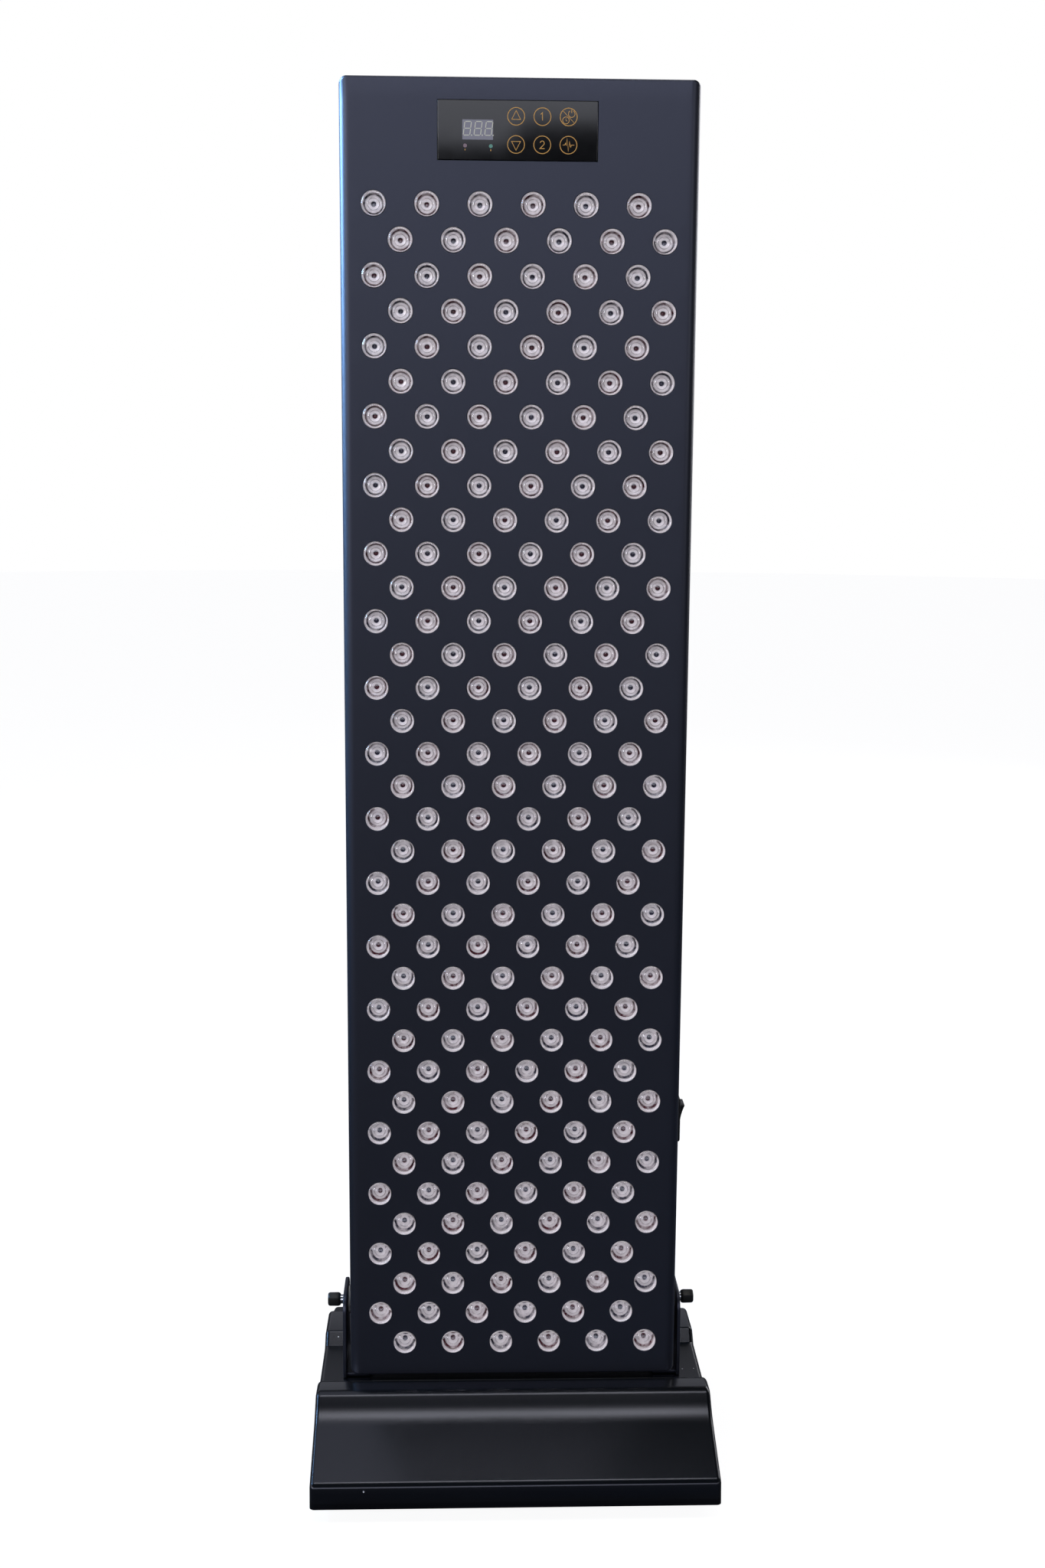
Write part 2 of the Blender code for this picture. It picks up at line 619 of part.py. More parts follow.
def build_heat_sink(shop, panel):
    """A comb-shaped extrusion behind all the boards, held by the sides of the case."""
    side = PANEL_SIDE - SHEET - FIT
    base_back = SINK_FRONT + SINK_BASE
    outline = [(side, base_back), (side, SINK_FRONT), (-side, SINK_FRONT), (-side, base_back)]
    step = (FIN_SPAN - FIN_THICKNESS) / (FIN_COUNT - 1)
    for fin in range(FIN_COUNT):
        left = fin * step - FIN_SPAN / 2
        outline += [(left, base_back), (left, base_back + FIN_HEIGHT),
                    (left + FIN_THICKNESS, base_back + FIN_HEIGHT),
                    (left + FIN_THICKNESS, base_back)]
    bottom = row_height(ROWS - 1) - ROW_PITCH / 2
    top = row_height(0) + ROW_PITCH / 2
    shop.piece("heat_sink", upright(outline, bottom, top), ALUMINIUM, panel)


def build_controls(shop, panel):
    """The glossy pane, the three-digit display behind it and the board that carries both."""
    half = Vector((PANE_WIDTH / 2, 0, PANE_HEIGHT / 2))
    pane_front = PANE_BACK - PANE_THICKNESS
    shop.piece("control_pane", box(PANE_CENTRE - half + Vector((0, pane_front, 0)),
                                   PANE_CENTRE + half + Vector((0, PANE_BACK, 0))), GLOSS, panel)
    display = PANE_CENTRE + Vector((DISPLAY_INSET - PANE_WIDTH / 2,
                                    DISPLAY_FRONT + DISPLAY_DEPTH / 2, 0))
    shop.piece("display_module", block(display, (DISPLAY_WIDTH, DISPLAY_DEPTH, DISPLAY_HEIGHT)),
               DISPLAY, panel)
    half += Vector((CONTROL_BOARD_EDGE, 0, CONTROL_BOARD_EDGE))
    back = CONTROL_BOARD_FRONT + BOARD_THICKNESS
    board = shop.piece("control_board",
                       box(PANE_CENTRE - half + Vector((0, CONTROL_BOARD_FRONT, 0)),
                           PANE_CENTRE + half + Vector((0, back, 0))), BOARD, panel)
    inset = POST_DIAMETER / 2 + FIT
    posts = []
    for right in (-1, 1):
        for up in (-1, 1):
            place = PANE_CENTRE + Vector((right * (half.x - inset), 0, up * (half.z - inset)))
            posts.append(rod(place + Vector((0, FACE_INSIDE + FIT, 0)),
                             place + Vector((0, CONTROL_BOARD_FRONT + ROOT, 0)),
                             POST_DIAMETER / 2, POST_SIDES))
    shop.add(board, *posts)


def fan_places():
    """The middles of the fans, as heights."""
    return [PANEL_BOTTOM + PANEL_HEIGHT * share for share in FAN_HEIGHT_SHARES]


def build_back_cover(shop, panel):
    """The flat back plate, slotted behind each fan and cut out for the mains inlet."""
    plate = shop.piece("back_cover", box((-PANEL_SIDE, PLATE_FRONT, PANEL_BOTTOM),
                                         (PANEL_SIDE, PANEL_BACK, PANEL_TOP)), PAINT, panel)
    front, back = PLATE_FRONT - OVERRUN, PANEL_BACK + OVERRUN
    slots = []
    reach = FAN_BORE / 2 - VENT_EDGE
    for height in fan_places():
        for index in range(VENT_SLOTS):
            rise = (index - (VENT_SLOTS - 1) / 2) * 2 * reach / VENT_SLOTS
            half = math.sqrt(reach ** 2 - (abs(rise) + VENT_SLOT / 2) ** 2)
            slots.append(box((-half, front, height + rise - VENT_SLOT / 2),
                             (half, back, height + rise + VENT_SLOT / 2)))
    shop.cut(plate, *slots)
    half = Vector((INLET_BODY[0] / 2 + FIT, 0, INLET_BODY[1] / 2 + FIT))
    shop.cut(plate, box(INLET_CENTRE - half - Vector((0, SHEET + OVERRUN, 0)),
                        INLET_CENTRE + half + Vector((0, OVERRUN, 0))))
    shop.cut(plate, *[rod((x, front, z), (x, back, z), BACK_SCREW_SHANK / 2 + FIT,
                          BACK_SCREW_SIDES) for x, z in back_screw_places()])


def build_back_screws(shop, panel):
    """Pan-head screws through the back plate and the return flange."""
    for index, (x, z) in enumerate(back_screw_places()):
        head = PANEL_BACK + FIT + BACK_SCREW_HEAD_HEIGHT
        profile = screw_profile(BACK_SCREW_SHANK, BACK_SCREW_HEAD, BACK_SCREW_HEAD_HEIGHT,
                                BACK_SCREW_LENGTH)
        shop.piece(f"back_cover_screw_{index + 1}",
                   turned(profile, (x, head, z), (0, -1, 0), BACK_SCREW_SIDES), STEEL, panel,
                   origin=(x, PANEL_BACK, z), smooth=True)


def build_fans(shop, panel):
    """Four fans: a square frame with the motor's plate and shaft, and a rotor that spins on it."""
    frame_back = PLATE_FRONT - FIT
    frame_front = frame_back - FAN_DEPTH
    plate_front = frame_back - MOTOR_PLATE
    rotor_back = plate_front - FIT
    for index, height in enumerate(fan_places()):
        centre = Vector((0, 0, height))

        def at(depth, across=0, up=0):
            return centre + Vector((across, depth, up))

        frame = shop.piece(f"fan_frame_{index + 1}",
                           box(at(frame_front, -FAN_SIZE / 2, -FAN_SIZE / 2),
                               at(frame_back, FAN_SIZE / 2, FAN_SIZE / 2)), PLASTIC, panel)
        shop.cut(frame, rod(at(frame_front - OVERRUN), at(frame_back + OVERRUN), FAN_BORE / 2,
                            FAN_SIDES))
        arm = (FAN_BORE / 2 + FAN_SIZE / 2) / 2   # the struts end in the middle of the frame's wall
        struts = [box(at(plate_front + ROOT, -arm, -STRUT_WIDTH / 2),
                      at(frame_back - FIT - ROOT, arm, STRUT_WIDTH / 2)),
                  box(at(plate_front + 2 * ROOT, -STRUT_WIDTH / 2, -arm),
                      at(frame_back - FIT - 2 * ROOT, STRUT_WIDTH / 2, arm))]
        for strut in struts:
            shop.add(frame, strut)
        shop.add(frame, rod(at(plate_front), at(frame_back - FIT), MOTOR_DIAMETER / 2,
                            ROUND_SIDES))
        shop.add(frame, rod(at(plate_front - SHAFT_LENGTH), at(plate_front + MOTOR_PLATE / 2),
                            SHAFT_DIAMETER / 2, FAN_SIDES // 2))

        axle = shop.carrier(f"fan_axle_{index + 1}", at(rotor_back - ROTOR_DEPTH / 2))
        shop.hang(axle, panel)
        hub = rod(at(rotor_back - ROTOR_DEPTH), at(rotor_back), MOTOR_DIAMETER / 2, ROUND_SIDES)
        rotor = shop.piece(f"fan_rotor_{index + 1}", hub, PLASTIC, axle, origin=axle.location)
        inner, tip = MOTOR_DIAMETER / 2 - BLADE_THICKNESS, FAN_BORE / 2 - ROTOR_TIP_GAP
        blades = []
        for blade in range(BLADES):
            vane = block(((inner + tip) / 2, 0, 0),
                         (tip - inner, BLADE_CHORD, BLADE_THICKNESS))
            vane.transform(Matrix.Rotation(BLADE_PITCH, 4, "X"))
            vane.transform(Matrix.Rotation(math.tau * blade / BLADES, 4, "Y"))
            vane.transform(Matrix.Translation(at(rotor_back - ROTOR_DEPTH / 2)))
            blades.append(vane)
        shop.add(rotor, *blades)
        shop.cut(rotor, rod(at(rotor_back - SHAFT_LENGTH - FIT), at(rotor_back + OVERRUN),
                            SHAFT_DIAMETER / 2 + FIT, FAN_SIDES // 2))


def build_drivers(shop, panel):
    """Two power supplies for the lamps, one above the other on the back plate."""
    middle = PANEL_BOTTOM + PANEL_HEIGHT * sum(FAN_HEIGHT_SHARES[1:3]) / 2
    back = PLATE_FRONT - FIT
    for index, side in enumerate((-1, 1)):
        centre = middle + side * (DRIVER_HEIGHT + DRIVER_SPACE) / 2
        shape = block((0, back - DRIVER_DEPTH / 2, centre),
                      (DRIVER_WIDTH, DRIVER_DEPTH, DRIVER_HEIGHT))
        bevelled(shape, DRIVER_BEVEL, 1, lambda a, b: abs(a.x - b.x) > MERGE)
        shop.piece(f"led_driver_{index + 1}", shape, ALUMINIUM, panel)


def build_inlet(shop, panel):
    """The mains inlet: a flange outside the back plate, a body through it and three pins."""
    width, height, flange = INLET_FLANGE
    outside = PANEL_BACK + FIT + flange
    centre = Vector((INLET_CENTRE.x, 0, INLET_CENTRE.z))
    shape = block(centre + Vector((0, PANEL_BACK + FIT + flange / 2, 0)), (width, flange, height))
    solid = shop.piece("power_inlet", shape, PLASTIC, panel)
    well_width, well_height, well = INLET_RECESS
    floor = outside - well
    body_front = floor - INLET_BACK_WALL
    body = Vector((INLET_BODY[0] / 2, 0, INLET_BODY[1] / 2))
    shop.add(solid, box(centre - body + Vector((0, body_front, 0)),
                        centre + body + Vector((0, outside - flange / 2, 0))))
    hole = Vector((well_width / 2, 0, well_height / 2))
    shop.cut(solid, box(centre - hole + Vector((0, floor, 0)),
                        centre + hole + Vector((0, outside + OVERRUN, 0))))
    pin_height, pin_width, pin_length = INLET_PIN
    pins = []
    for side in (-1, 0, 1):
        up = -INLET_PIN_STEP if side else INLET_PIN_STEP
        place = centre + Vector((side * INLET_PIN_SPREAD, floor + pin_length / 2, up))
        pins.append(block(place - Vector((0, ROOT / 2, 0)),
                          (pin_width, pin_length + ROOT, pin_height)))
    shop.add(solid, *pins)


def build_switch(shop, panel):
    """The rocker switch: a housing with a bezel outside the case, and the rocker in its well."""
    y, z = SWITCH_CENTRE.y, SWITCH_CENTRE.z
    outside = PANEL_SIDE + BEZEL_PROUD
    bezel = box((PANEL_SIDE + FIT, y - BEZEL_WIDTH / 2, z - BEZEL_HEIGHT / 2),
                (outside, y + BEZEL_WIDTH / 2, z + BEZEL_HEIGHT / 2))
    housing = shop.piece("switch_housing", bezel, PLASTIC, panel)
    shop.add(housing, box((PANEL_SIDE - SWITCH_BODY_DEPTH, y - SWITCH_BODY_WIDTH / 2,
                           z - SWITCH_BODY_HEIGHT / 2),
                          (PANEL_SIDE + BEZEL_PROUD / 2, y + SWITCH_BODY_WIDTH / 2,
                           z + SWITCH_BODY_HEIGHT / 2)))
    well_end = ROCKER_LENGTH / 2 + SWITCH_WELL_END_GAP
    well_side = ROCKER_WIDTH / 2 + FIT
    floor = ROCKER_AXIS.x - ROCKER_FOOT - SWITCH_WELL_FLOOR_GAP
    shop.cut(housing, box((floor, y - well_side, z - well_end),
                          (outside + OVERRUN, y + well_side, z + well_end)))
    shop.cut(housing, rod((ROCKER_AXIS.x, y - ROCKER_PIN_LENGTH / 2 - FIT, z),
                          (ROCKER_AXIS.x, y + ROCKER_PIN_LENGTH / 2 + FIT, z),
                          ROCKER_PIN_DIAMETER / 2 + FIT, LENS_SIDES))

    axle = shop.carrier("rocker_axle", ROCKER_AXIS)
    shop.hang(axle, panel)
    end, horn = ROCKER_LENGTH / 2, ROCKER_FACE + ROCKER_HORN
    outline = [(-ROCKER_FOOT, -end), (horn, -end), (ROCKER_FACE, 0), (horn, end),
               (-ROCKER_FOOT, end)]
    tilt = Matrix.Rotation(ROCKER_TILT, 4, "Y")
    shape = extruded(outline, ROCKER_WIDTH, axes((1, 0, 0), (0, 0, 1), (0, 0, 0)))
    shape.transform(Matrix.Translation(ROCKER_AXIS) @ tilt)
    rocker = shop.piece("switch_rocker", shape, PLASTIC, axle, origin=ROCKER_AXIS)
    shop.add(rocker, rod((ROCKER_AXIS.x, y - ROCKER_PIN_LENGTH / 2, z),
                         (ROCKER_AXIS.x, y + ROCKER_PIN_LENGTH / 2, z),
                         ROCKER_PIN_DIAMETER / 2, LENS_SIDES))


def build_pivot(shop, panel, side, word):
    """One side's threaded insert, friction washer, ear and thumb bolt."""
    def at(x, y=0, z=0):
        return Vector((side * x, y, PIVOT_HEIGHT + z))

    outwards = (side, 0, 0)
    bore = BOLT_SHANK / 2 + FIT
    inner_end = PANEL_SIDE - BOLT_REACH
    insert = [(INSERT_FLANGE / 2, 0), (INSERT_FLANGE / 2, INSERT_FLANGE_THICKNESS),
              (INSERT_DIAMETER / 2, INSERT_FLANGE_THICKNESS),
              (INSERT_DIAMETER / 2, INSERT_OUTSIDE - inner_end), (bore, INSERT_OUTSIDE - inner_end),
              (bore, 0)]
    shop.piece(f"threaded_insert_{word}", turned(insert, at(INSERT_OUTSIDE), (-side, 0, 0),
                                                 ROUND_SIDES), STEEL, panel, smooth=True)
    washer = ring_profile(WASHER_DIAMETER, 2 * bore, WASHER_THICKNESS)
    shop.piece(f"friction_washer_{word}", turned(washer, at(WASHER_INSIDE), outwards,
                                                 ROUND_SIDES), NYLON, None, smooth=True)

    top = PIVOT_HEIGHT + EAR_ABOVE_PIVOT
    corners = [(-EAR_FOOT_FRONT, EAR_FOOT, 0), (EAR_REAR, EAR_FOOT, 0),
               (EAR_REAR, top, EAR_CORNER), (-EAR_TOP_FRONT, top, EAR_CORNER)]
    middle = (EAR_INSIDE + EAR_OUTSIDE) / 2
    plate = extruded(rounded(corners, CORNER_STEPS), EAR_THICKNESS,
                     axes((0, 1, 0), (0, 0, 1), (side * middle, 0, 0)))
    ear = shop.piece(f"ear_{word}", plate, PAINT, None)
    flange_end = EAR_OUTSIDE - EAR_FLANGE
    inner, outer = sorted((side * flange_end, side * (EAR_INSIDE + EAR_THICKNESS / 2)))
    shop.add(ear, box((inner, EAR_FLANGE_STEP - EAR_FOOT_FRONT, EAR_FOOT),
                      (outer, EAR_REAR - EAR_FLANGE_STEP, EAR_FOOT + EAR_THICKNESS)))
    shop.cut(ear, rod(at(EAR_INSIDE - OVERRUN), at(EAR_OUTSIDE + OVERRUN), bore, ROUND_SIDES))
    shop.cut(ear, *[rod((side * x, y, EAR_FOOT - OVERRUN),
                        (side * x, y, EAR_FOOT + EAR_THICKNESS + OVERRUN),
                        BRACKET_SCREW_SHANK / 2 + FIT, LENS_SIDES)
                    for x, y in bracket_screw_places()])

    axle = shop.carrier(f"bolt_axle_{word}", at(EAR_OUTSIDE))
    shop.hang(axle, panel)
    cap_start = EAR_OUTSIDE + BOLT_NECK
    cap = rod(at(cap_start), at(cap_start + BOLT_CAP_LENGTH), BOLT_CAP_ACROSS / 2, BOLT_CAP_SIDES)
    bevelled(cap, BOLT_CAP_BEVEL, 1, lambda a, b: abs(a.x - b.x) < MERGE)
    bolt = shop.piece(f"pivot_bolt_{word}", cap, PLASTIC, axle, origin=axle.location)
    shop.add(bolt, rod(at(inner_end), at(cap_start + BOLT_CAP_LENGTH / 2), BOLT_SHANK / 2,
                       ROUND_SIDES))


def bracket_screw_places():
    """The two screws of one ear, as (distance from the middle, y) pairs."""
    column = EAR_OUTSIDE - BRACKET_SCREW_INSET
    return [(column, -BRACKET_SCREW_SPREAD), (column, BRACKET_SCREW_SPREAD)]


def build_bracket_screws(shop):
    """Screws that come up through the base into the feet of the ears."""
    number = 0
    for side in (-1, 1):
        for x, y in bracket_screw_places():
            number += 1
            head_top = DIP_FLOOR - BASE_WALL - FIT
            start = (side * x, y, head_top - BRACKET_SCREW_HEAD_HEIGHT)
            length = EAR_FOOT + EAR_THICKNESS - head_top
            profile = screw_profile(BRACKET_SCREW_SHANK, BRACKET_SCREW_HEAD,
                                    BRACKET_SCREW_HEAD_HEIGHT, length)
            shop.piece(f"bracket_screw_{number}", turned(profile, start, (0, 0, 1), LENS_SIDES),
                       STEEL, None, smooth=True)


def base_corners():
    """The corners of the base seen from the right: (y, z, radius), front lip to rear lip."""
    edge = BASE_DEPTH / 2
    rim = FOOT_GAP
    front = [(-edge, rim, 0), (LIP_LEAN - edge, rim + LIP_HEIGHT, LIP_RADIUS),
             (COVE_SET_BACK - edge, rim + COVE_HEIGHT, COVE_RADIUS),
             (RIDGE_SET_BACK - edge, rim + RIDGE_HEIGHT, RIDGE_RADIUS)]
    middle = [(SHOULDER_SET_BACK - edge, rim + SHOULDER_HEIGHT, SHOULDER_RADIUS),
              (-DIP_FRONT, rim + DIP_HEIGHT, 0), (DIP_REAR, rim + DIP_HEIGHT, 0),
              (DIP_REAR + STEP_RUN, rim + DECK_HEIGHT, STEP_RADIUS)]
    rear = [(edge - RIDGE_SET_BACK, rim + CREST_HEIGHT, CREST_RADIUS),
            (edge - COVE_SET_BACK, rim + CREST_HEIGHT - COVE_DROP, COVE_RADIUS),
            (edge - LIP_LEAN, rim + LIP_HEIGHT, LIP_RADIUS), (edge, rim, 0)]
    return front + middle + rear


def inset_outline(corners, inset, bottom):
    """The same open outline moved inwards by inset, with its two ends brought down to bottom."""
    lines = []
    for (x0, y0, _), (x1, y1, _) in zip(corners, corners[1:]):
        along = Vector((x1 - x0, y1 - y0)).normalized()
        across = Vector((along.y, -along.x)) * inset
        lines.append((Vector((x0, y0)) + across, along))
    points = []
    for (start, along), (other, heading) in zip(lines, lines[1:]):
        cross = along.x * heading.y - along.y * heading.x
        gap = other - start
        points.append(start + along * (gap.x * heading.y - gap.y * heading.x) / cross)
    first, last = lines[0], lines[-1]
    low = first[0] + first[1] * (bottom - first[0].y) / first[1].y
    end = last[0] + last[1] * (bottom - last[0].y) / last[1].y
    return [tuple(low)] + [tuple(point) for point in points] + [tuple(end)]


def build_base(shop):
    """The base: a ribbed shell, a floor plate inside its rim and four rubber feet."""
    corners = base_corners()
    across = axes((0, 1, 0), (0, 0, 1), (0, 0, 0))
    outside = extruded(rounded(corners, CORNER_STEPS), 2 * BASE_HALF_WIDTH, across)
    end = BASE_HALF_WIDTH - MERGE
    bevelled(outside, BASE_END_BEVEL, 1,
             lambda a, b: min(abs(a.x), abs(b.x)) > end and a.x * b.x > 0
             and max(a.z, b.z) > FOOT_GAP + MERGE)
    shell = shop.piece("base_shell", outside, BASE_PAINT, None)
    hollow = inset_outline(corners, BASE_WALL, FOOT_GAP - OVERRUN)
    shop.cut(shell, extruded(hollow, 2 * (BASE_HALF_WIDTH - BASE_WALL), across))
    low, high = DIP_FLOOR - BASE_WALL - OVERRUN, DIP_FLOOR + OVERRUN
    shop.cut(shell, *[rod((side * x, y, low), (side * x, y, high),
                          BRACKET_SCREW_SHANK / 2 + FIT, LENS_SIDES)
                      for side in (-1, 1) for x, y in bracket_screw_places()])

    inset = BASE_WALL + FIT
    lean = LIP_LEAN * (FLOOR_PLATE + 2 * FIT) / LIP_HEIGHT
    half = Vector((BASE_HALF_WIDTH - inset, BASE_DEPTH / 2 - inset - lean, 0))
    plate = box((-half.x, -half.y, FOOT_GAP + FIT), (half.x, half.y, FOOT_GAP + FIT + FLOOR_PLATE))
    shop.piece("base_floor_plate", plate, STEEL, None)
    number = 0
    for x in (-1, 1):
        for y in (-1, 1):
            number += 1
            place = Vector((x * (BASE_HALF_WIDTH - FOOT_SIDE_INSET),
                            y * (BASE_DEPTH / 2 - FOOT_END_INSET), 0))
            shop.piece(f"rubber_foot_{number}",
                       rod(place, place + Vector((0, 0, FOOT_GAP)), FOOT_BOTTOM / 2, ROUND_SIDES,
                           FOOT_TOP / 2), RUBBER, None, smooth=True)


def main():
    clear_scene()
    shop = Workshop()
    panel = shop.carrier("panel_pivot", (0, 0, PIVOT_HEIGHT))
    build_front_cover(shop, panel)
    build_lens_trays(shop, panel)
    build_lamp_boards(shop, panel)
    build_heat_sink(shop, panel)
    build_controls(shop, panel)
    build_back_cover(shop, panel)
    build_back_screws(shop, panel)
    build_fans(shop, panel)
    build_drivers(shop, panel)
    build_inlet(shop, panel)
    build_switch(shop, panel)
    for side, word in ((-1, "left"), (1, "right")):
        build_pivot(shop, panel, side, word)
    build_bracket_screws(shop)
    build_base(shop)


main()
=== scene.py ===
"""Looks of a tall red light therapy panel on a low base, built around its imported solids.

X runs to the right as the user sees the lenses, Y runs away from the user and Z runs up. Sizes
are in metres where no name or comment gives another unit. Each sub-assembly is a class that
takes its places from the solids and works out its fine surfaces as arrays.
"""

import sys

import json
import logging
import math
from dataclasses import dataclass
from enum import Enum, IntEnum

import bmesh
import bpy
import numpy as np
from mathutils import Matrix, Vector


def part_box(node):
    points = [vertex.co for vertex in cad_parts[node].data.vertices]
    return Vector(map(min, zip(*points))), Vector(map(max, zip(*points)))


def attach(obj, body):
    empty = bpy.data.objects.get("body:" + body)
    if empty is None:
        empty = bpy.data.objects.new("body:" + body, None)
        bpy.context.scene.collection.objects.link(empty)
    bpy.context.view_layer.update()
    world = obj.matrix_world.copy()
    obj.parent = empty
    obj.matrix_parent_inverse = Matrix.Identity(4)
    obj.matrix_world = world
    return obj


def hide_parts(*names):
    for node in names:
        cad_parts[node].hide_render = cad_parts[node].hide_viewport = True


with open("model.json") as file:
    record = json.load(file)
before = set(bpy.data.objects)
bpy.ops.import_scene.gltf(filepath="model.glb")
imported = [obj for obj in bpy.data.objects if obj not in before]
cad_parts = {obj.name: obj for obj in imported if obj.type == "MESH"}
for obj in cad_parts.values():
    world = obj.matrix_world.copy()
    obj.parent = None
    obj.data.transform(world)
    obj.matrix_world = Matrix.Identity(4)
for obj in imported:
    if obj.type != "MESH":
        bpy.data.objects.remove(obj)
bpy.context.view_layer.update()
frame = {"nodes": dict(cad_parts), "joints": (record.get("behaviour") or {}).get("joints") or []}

MM = 0.001
TAU = 2 * math.pi
# Points closer than this become one
MERGE = 1e-6
# A ring of this radius closes to a point
POINT = MERGE / 4
# Edges that turn more than this stay crisp
SHARP_ANGLE = math.radians(32)

# Settings that several nodes share
COLOUR_MIX = {"data_type": "RGBA"}
NUMBER_MIX = {"data_type": "FLOAT"}
PRODUCT = {"operation": "MULTIPLY"}
LESS_THAN = {"operation": "LESS_THAN"}

Array = np.ndarray
Pair = tuple[float, float]
Triple = tuple[float, float, float]
Pairs = tuple[Pair, ...]
Tree = bpy.types.NodeTree
Socket = bpy.types.NodeSocket
log = logging.getLogger("light_panel")


# Colour and materials


def linear(colour: str) -> Triple:
    """Turns an sRGB hex colour into linear red, green and blue.

    Args:
        colour: six hex digits after a hash.

    Returns:
        Three values from 0 to 1.
    """
    shares = np.array([int(colour[i:i + 2], 16) for i in (1, 3, 5)]) / 255
    low, high = shares / 12.92, ((shares + 0.055) / 1.055) ** 2.4
    return tuple(float(value) for value in np.where(shares <= 0.04045, low, high))


def rgba(colour: str) -> tuple[float, float, float, float]:
    """The linear colour of a hex colour, with full alpha."""
    return (*linear(colour), 1.0)


def add_node(tree: Tree, kind: str, settings: dict | None = None,
             **sockets: object) -> bpy.types.Node:
    """Adds a node with its settings, values and links.

    Args:
        tree: the tree that takes the node.
        kind: the node's Blender type.
        settings: the node's own properties.
        sockets: an input's name with underscores for spaces, or i and its number, and a value
            or the output socket that feeds it.

    Returns:
        The new node.
    """
    node = tree.nodes.new(kind)
    for name, value in (settings or {}).items():
        setattr(node, name, value)
    for name, value in sockets.items():
        key = int(name[1:]) if name[0] == "i" and name[1:].isdigit() else name.replace("_", " ")
        if isinstance(value, Socket):
            tree.links.new(value, node.inputs[key])
        else:
            node.inputs[key].default_value = value
    return node


class Texture(Enum):
    """How a surface is broken up close to: the pattern's stretch along Z and its detail."""

    # Fine round bumps of sprayed or moulded stock
    GRAIN = (1.0, 3.0)
    # Fine lines along the height of extruded stock
    DRAWN = (0.04, 3.0)
    # Soft smears, as on polished stock
    CLOUDED = (1.0, 1.0)


@dataclass(frozen=True)
class Finish:
    """One surface finish.

    The colour wanders between two tones and the roughness by a share, both at the size of the
    feature, and a bump of the given depth breaks the gloss.
    """

    name: str
    colour: str
    second: str
    roughness: float
    feature_mm: float
    bump_mm: float = 0.0
    metallic: float = 0.0
    ior: float = 1.5
    transmission: float = 0.0
    specular: float = 0.5
    gloss: str = "#FFFFFF"
    wander: float = 0.12
    texture: Texture = Texture.GRAIN
    finer_share: float = 0.6
    noise_range: Pair = (0.3, 0.7)

    def colours(self, tree: Tree, place: Socket, noise: Socket) -> Socket:
        """Adds the nodes that give the colour.

        Args:
            tree: the material's tree.
            place: the point on the piece, in metres; not used.
            noise: the shared pattern, from 0 to 1.

        Returns:
            The colour's socket.
        """
        return add_node(tree, "ShaderNodeMix", COLOUR_MIX, Factor=noise, i6=rgba(self.colour),
                        i7=rgba(self.second)).outputs[2]

    def material(self) -> bpy.types.Material:
        """Makes the material, once for all the pieces that have it.

        Returns:
            The material.
        """
        found = bpy.data.materials.get(self.name)
        if found:
            return found
        material = bpy.data.materials.new(self.name)
        material.use_nodes = True
        tree = material.node_tree
        tree.nodes.clear()
        place = add_node(tree, "ShaderNodeTexCoord").outputs["Object"]
        stretch, detail = self.texture.value
        mapping = add_node(tree, "ShaderNodeMapping", Vector=place, Scale=(1.0, 1.0, stretch))
        noise = add_node(tree, "ShaderNodeTexNoise", Vector=mapping.outputs[0],
                         Scale=1 / (self.feature_mm * MM), Detail=detail,
                         Roughness=self.finer_share).outputs[0]
        shader = add_node(tree, "ShaderNodeBsdfPrincipled", Metallic=self.metallic, IOR=self.ior,
                          Transmission_Weight=self.transmission,
                          Specular_IOR_Level=self.specular, Specular_Tint=rgba(self.gloss))
        tree.links.new(self.colours(tree, place, noise), shader.inputs["Base Color"])
        spread = self.roughness * self.wander
        low, high = self.noise_range
        rough = add_node(tree, "ShaderNodeMapRange", Value=noise, From_Min=low, From_Max=high,
                         To_Min=self.roughness - spread, To_Max=self.roughness + spread)
        tree.links.new(rough.outputs[0], shader.inputs["Roughness"])
        if self.bump_mm:
            bump = add_node(tree, "ShaderNodeBump", Height=noise, Strength=1.0,
                            Distance=self.bump_mm * MM)
            tree.links.new(bump.outputs[0], shader.inputs["Normal"])
        output = add_node(tree, "ShaderNodeOutputMaterial")
        tree.links.new(shader.outputs[0], output.inputs["Surface"])
        return material


@dataclass(frozen=True)
class ChippedPaint(Finish):
    """Paint with a few tiny chips down to a pale primer, at given places on the piece."""

    chips: tuple[tuple[float, float, float, float], ...] = ()
    chip_colour: str = "#C9CDD2"
    ragged: Pair = (-1.0, 1.5)

    def colours(self, tree: Tree, place: Socket, noise: Socket) -> Socket:
        """Adds the paint's colour and a spot for each chip, whose edge the noise breaks up.

        Args:
            tree: the material's tree.
            place: the point on the piece, in metres.
            noise: the shared pattern, from 0 to 1.

        Returns:
            The colour's socket.
        """
        colour = super().colours(tree, place, noise)
        slope, reach = self.ragged
        for x, y, z, radius in self.chips:
            gap = add_node(tree, "ShaderNodeVectorMath", {"operation": "DISTANCE"}, i0=place,
                           i1=(x, y, z))
            edge = add_node(tree, "ShaderNodeMath", {"operation": "MULTIPLY_ADD"}, i0=noise,
                            i1=radius * slope, i2=radius * reach)
            inside = add_node(tree, "ShaderNodeMath", LESS_THAN, i0=gap.outputs["Value"],
                              i1=edge.outputs[0])
            colour = add_node(tree, "ShaderNodeMix", COLOUR_MIX, Factor=inside.outputs[0],
                              i6=colour, i7=rgba(self.chip_colour)).outputs[2]
        return colour


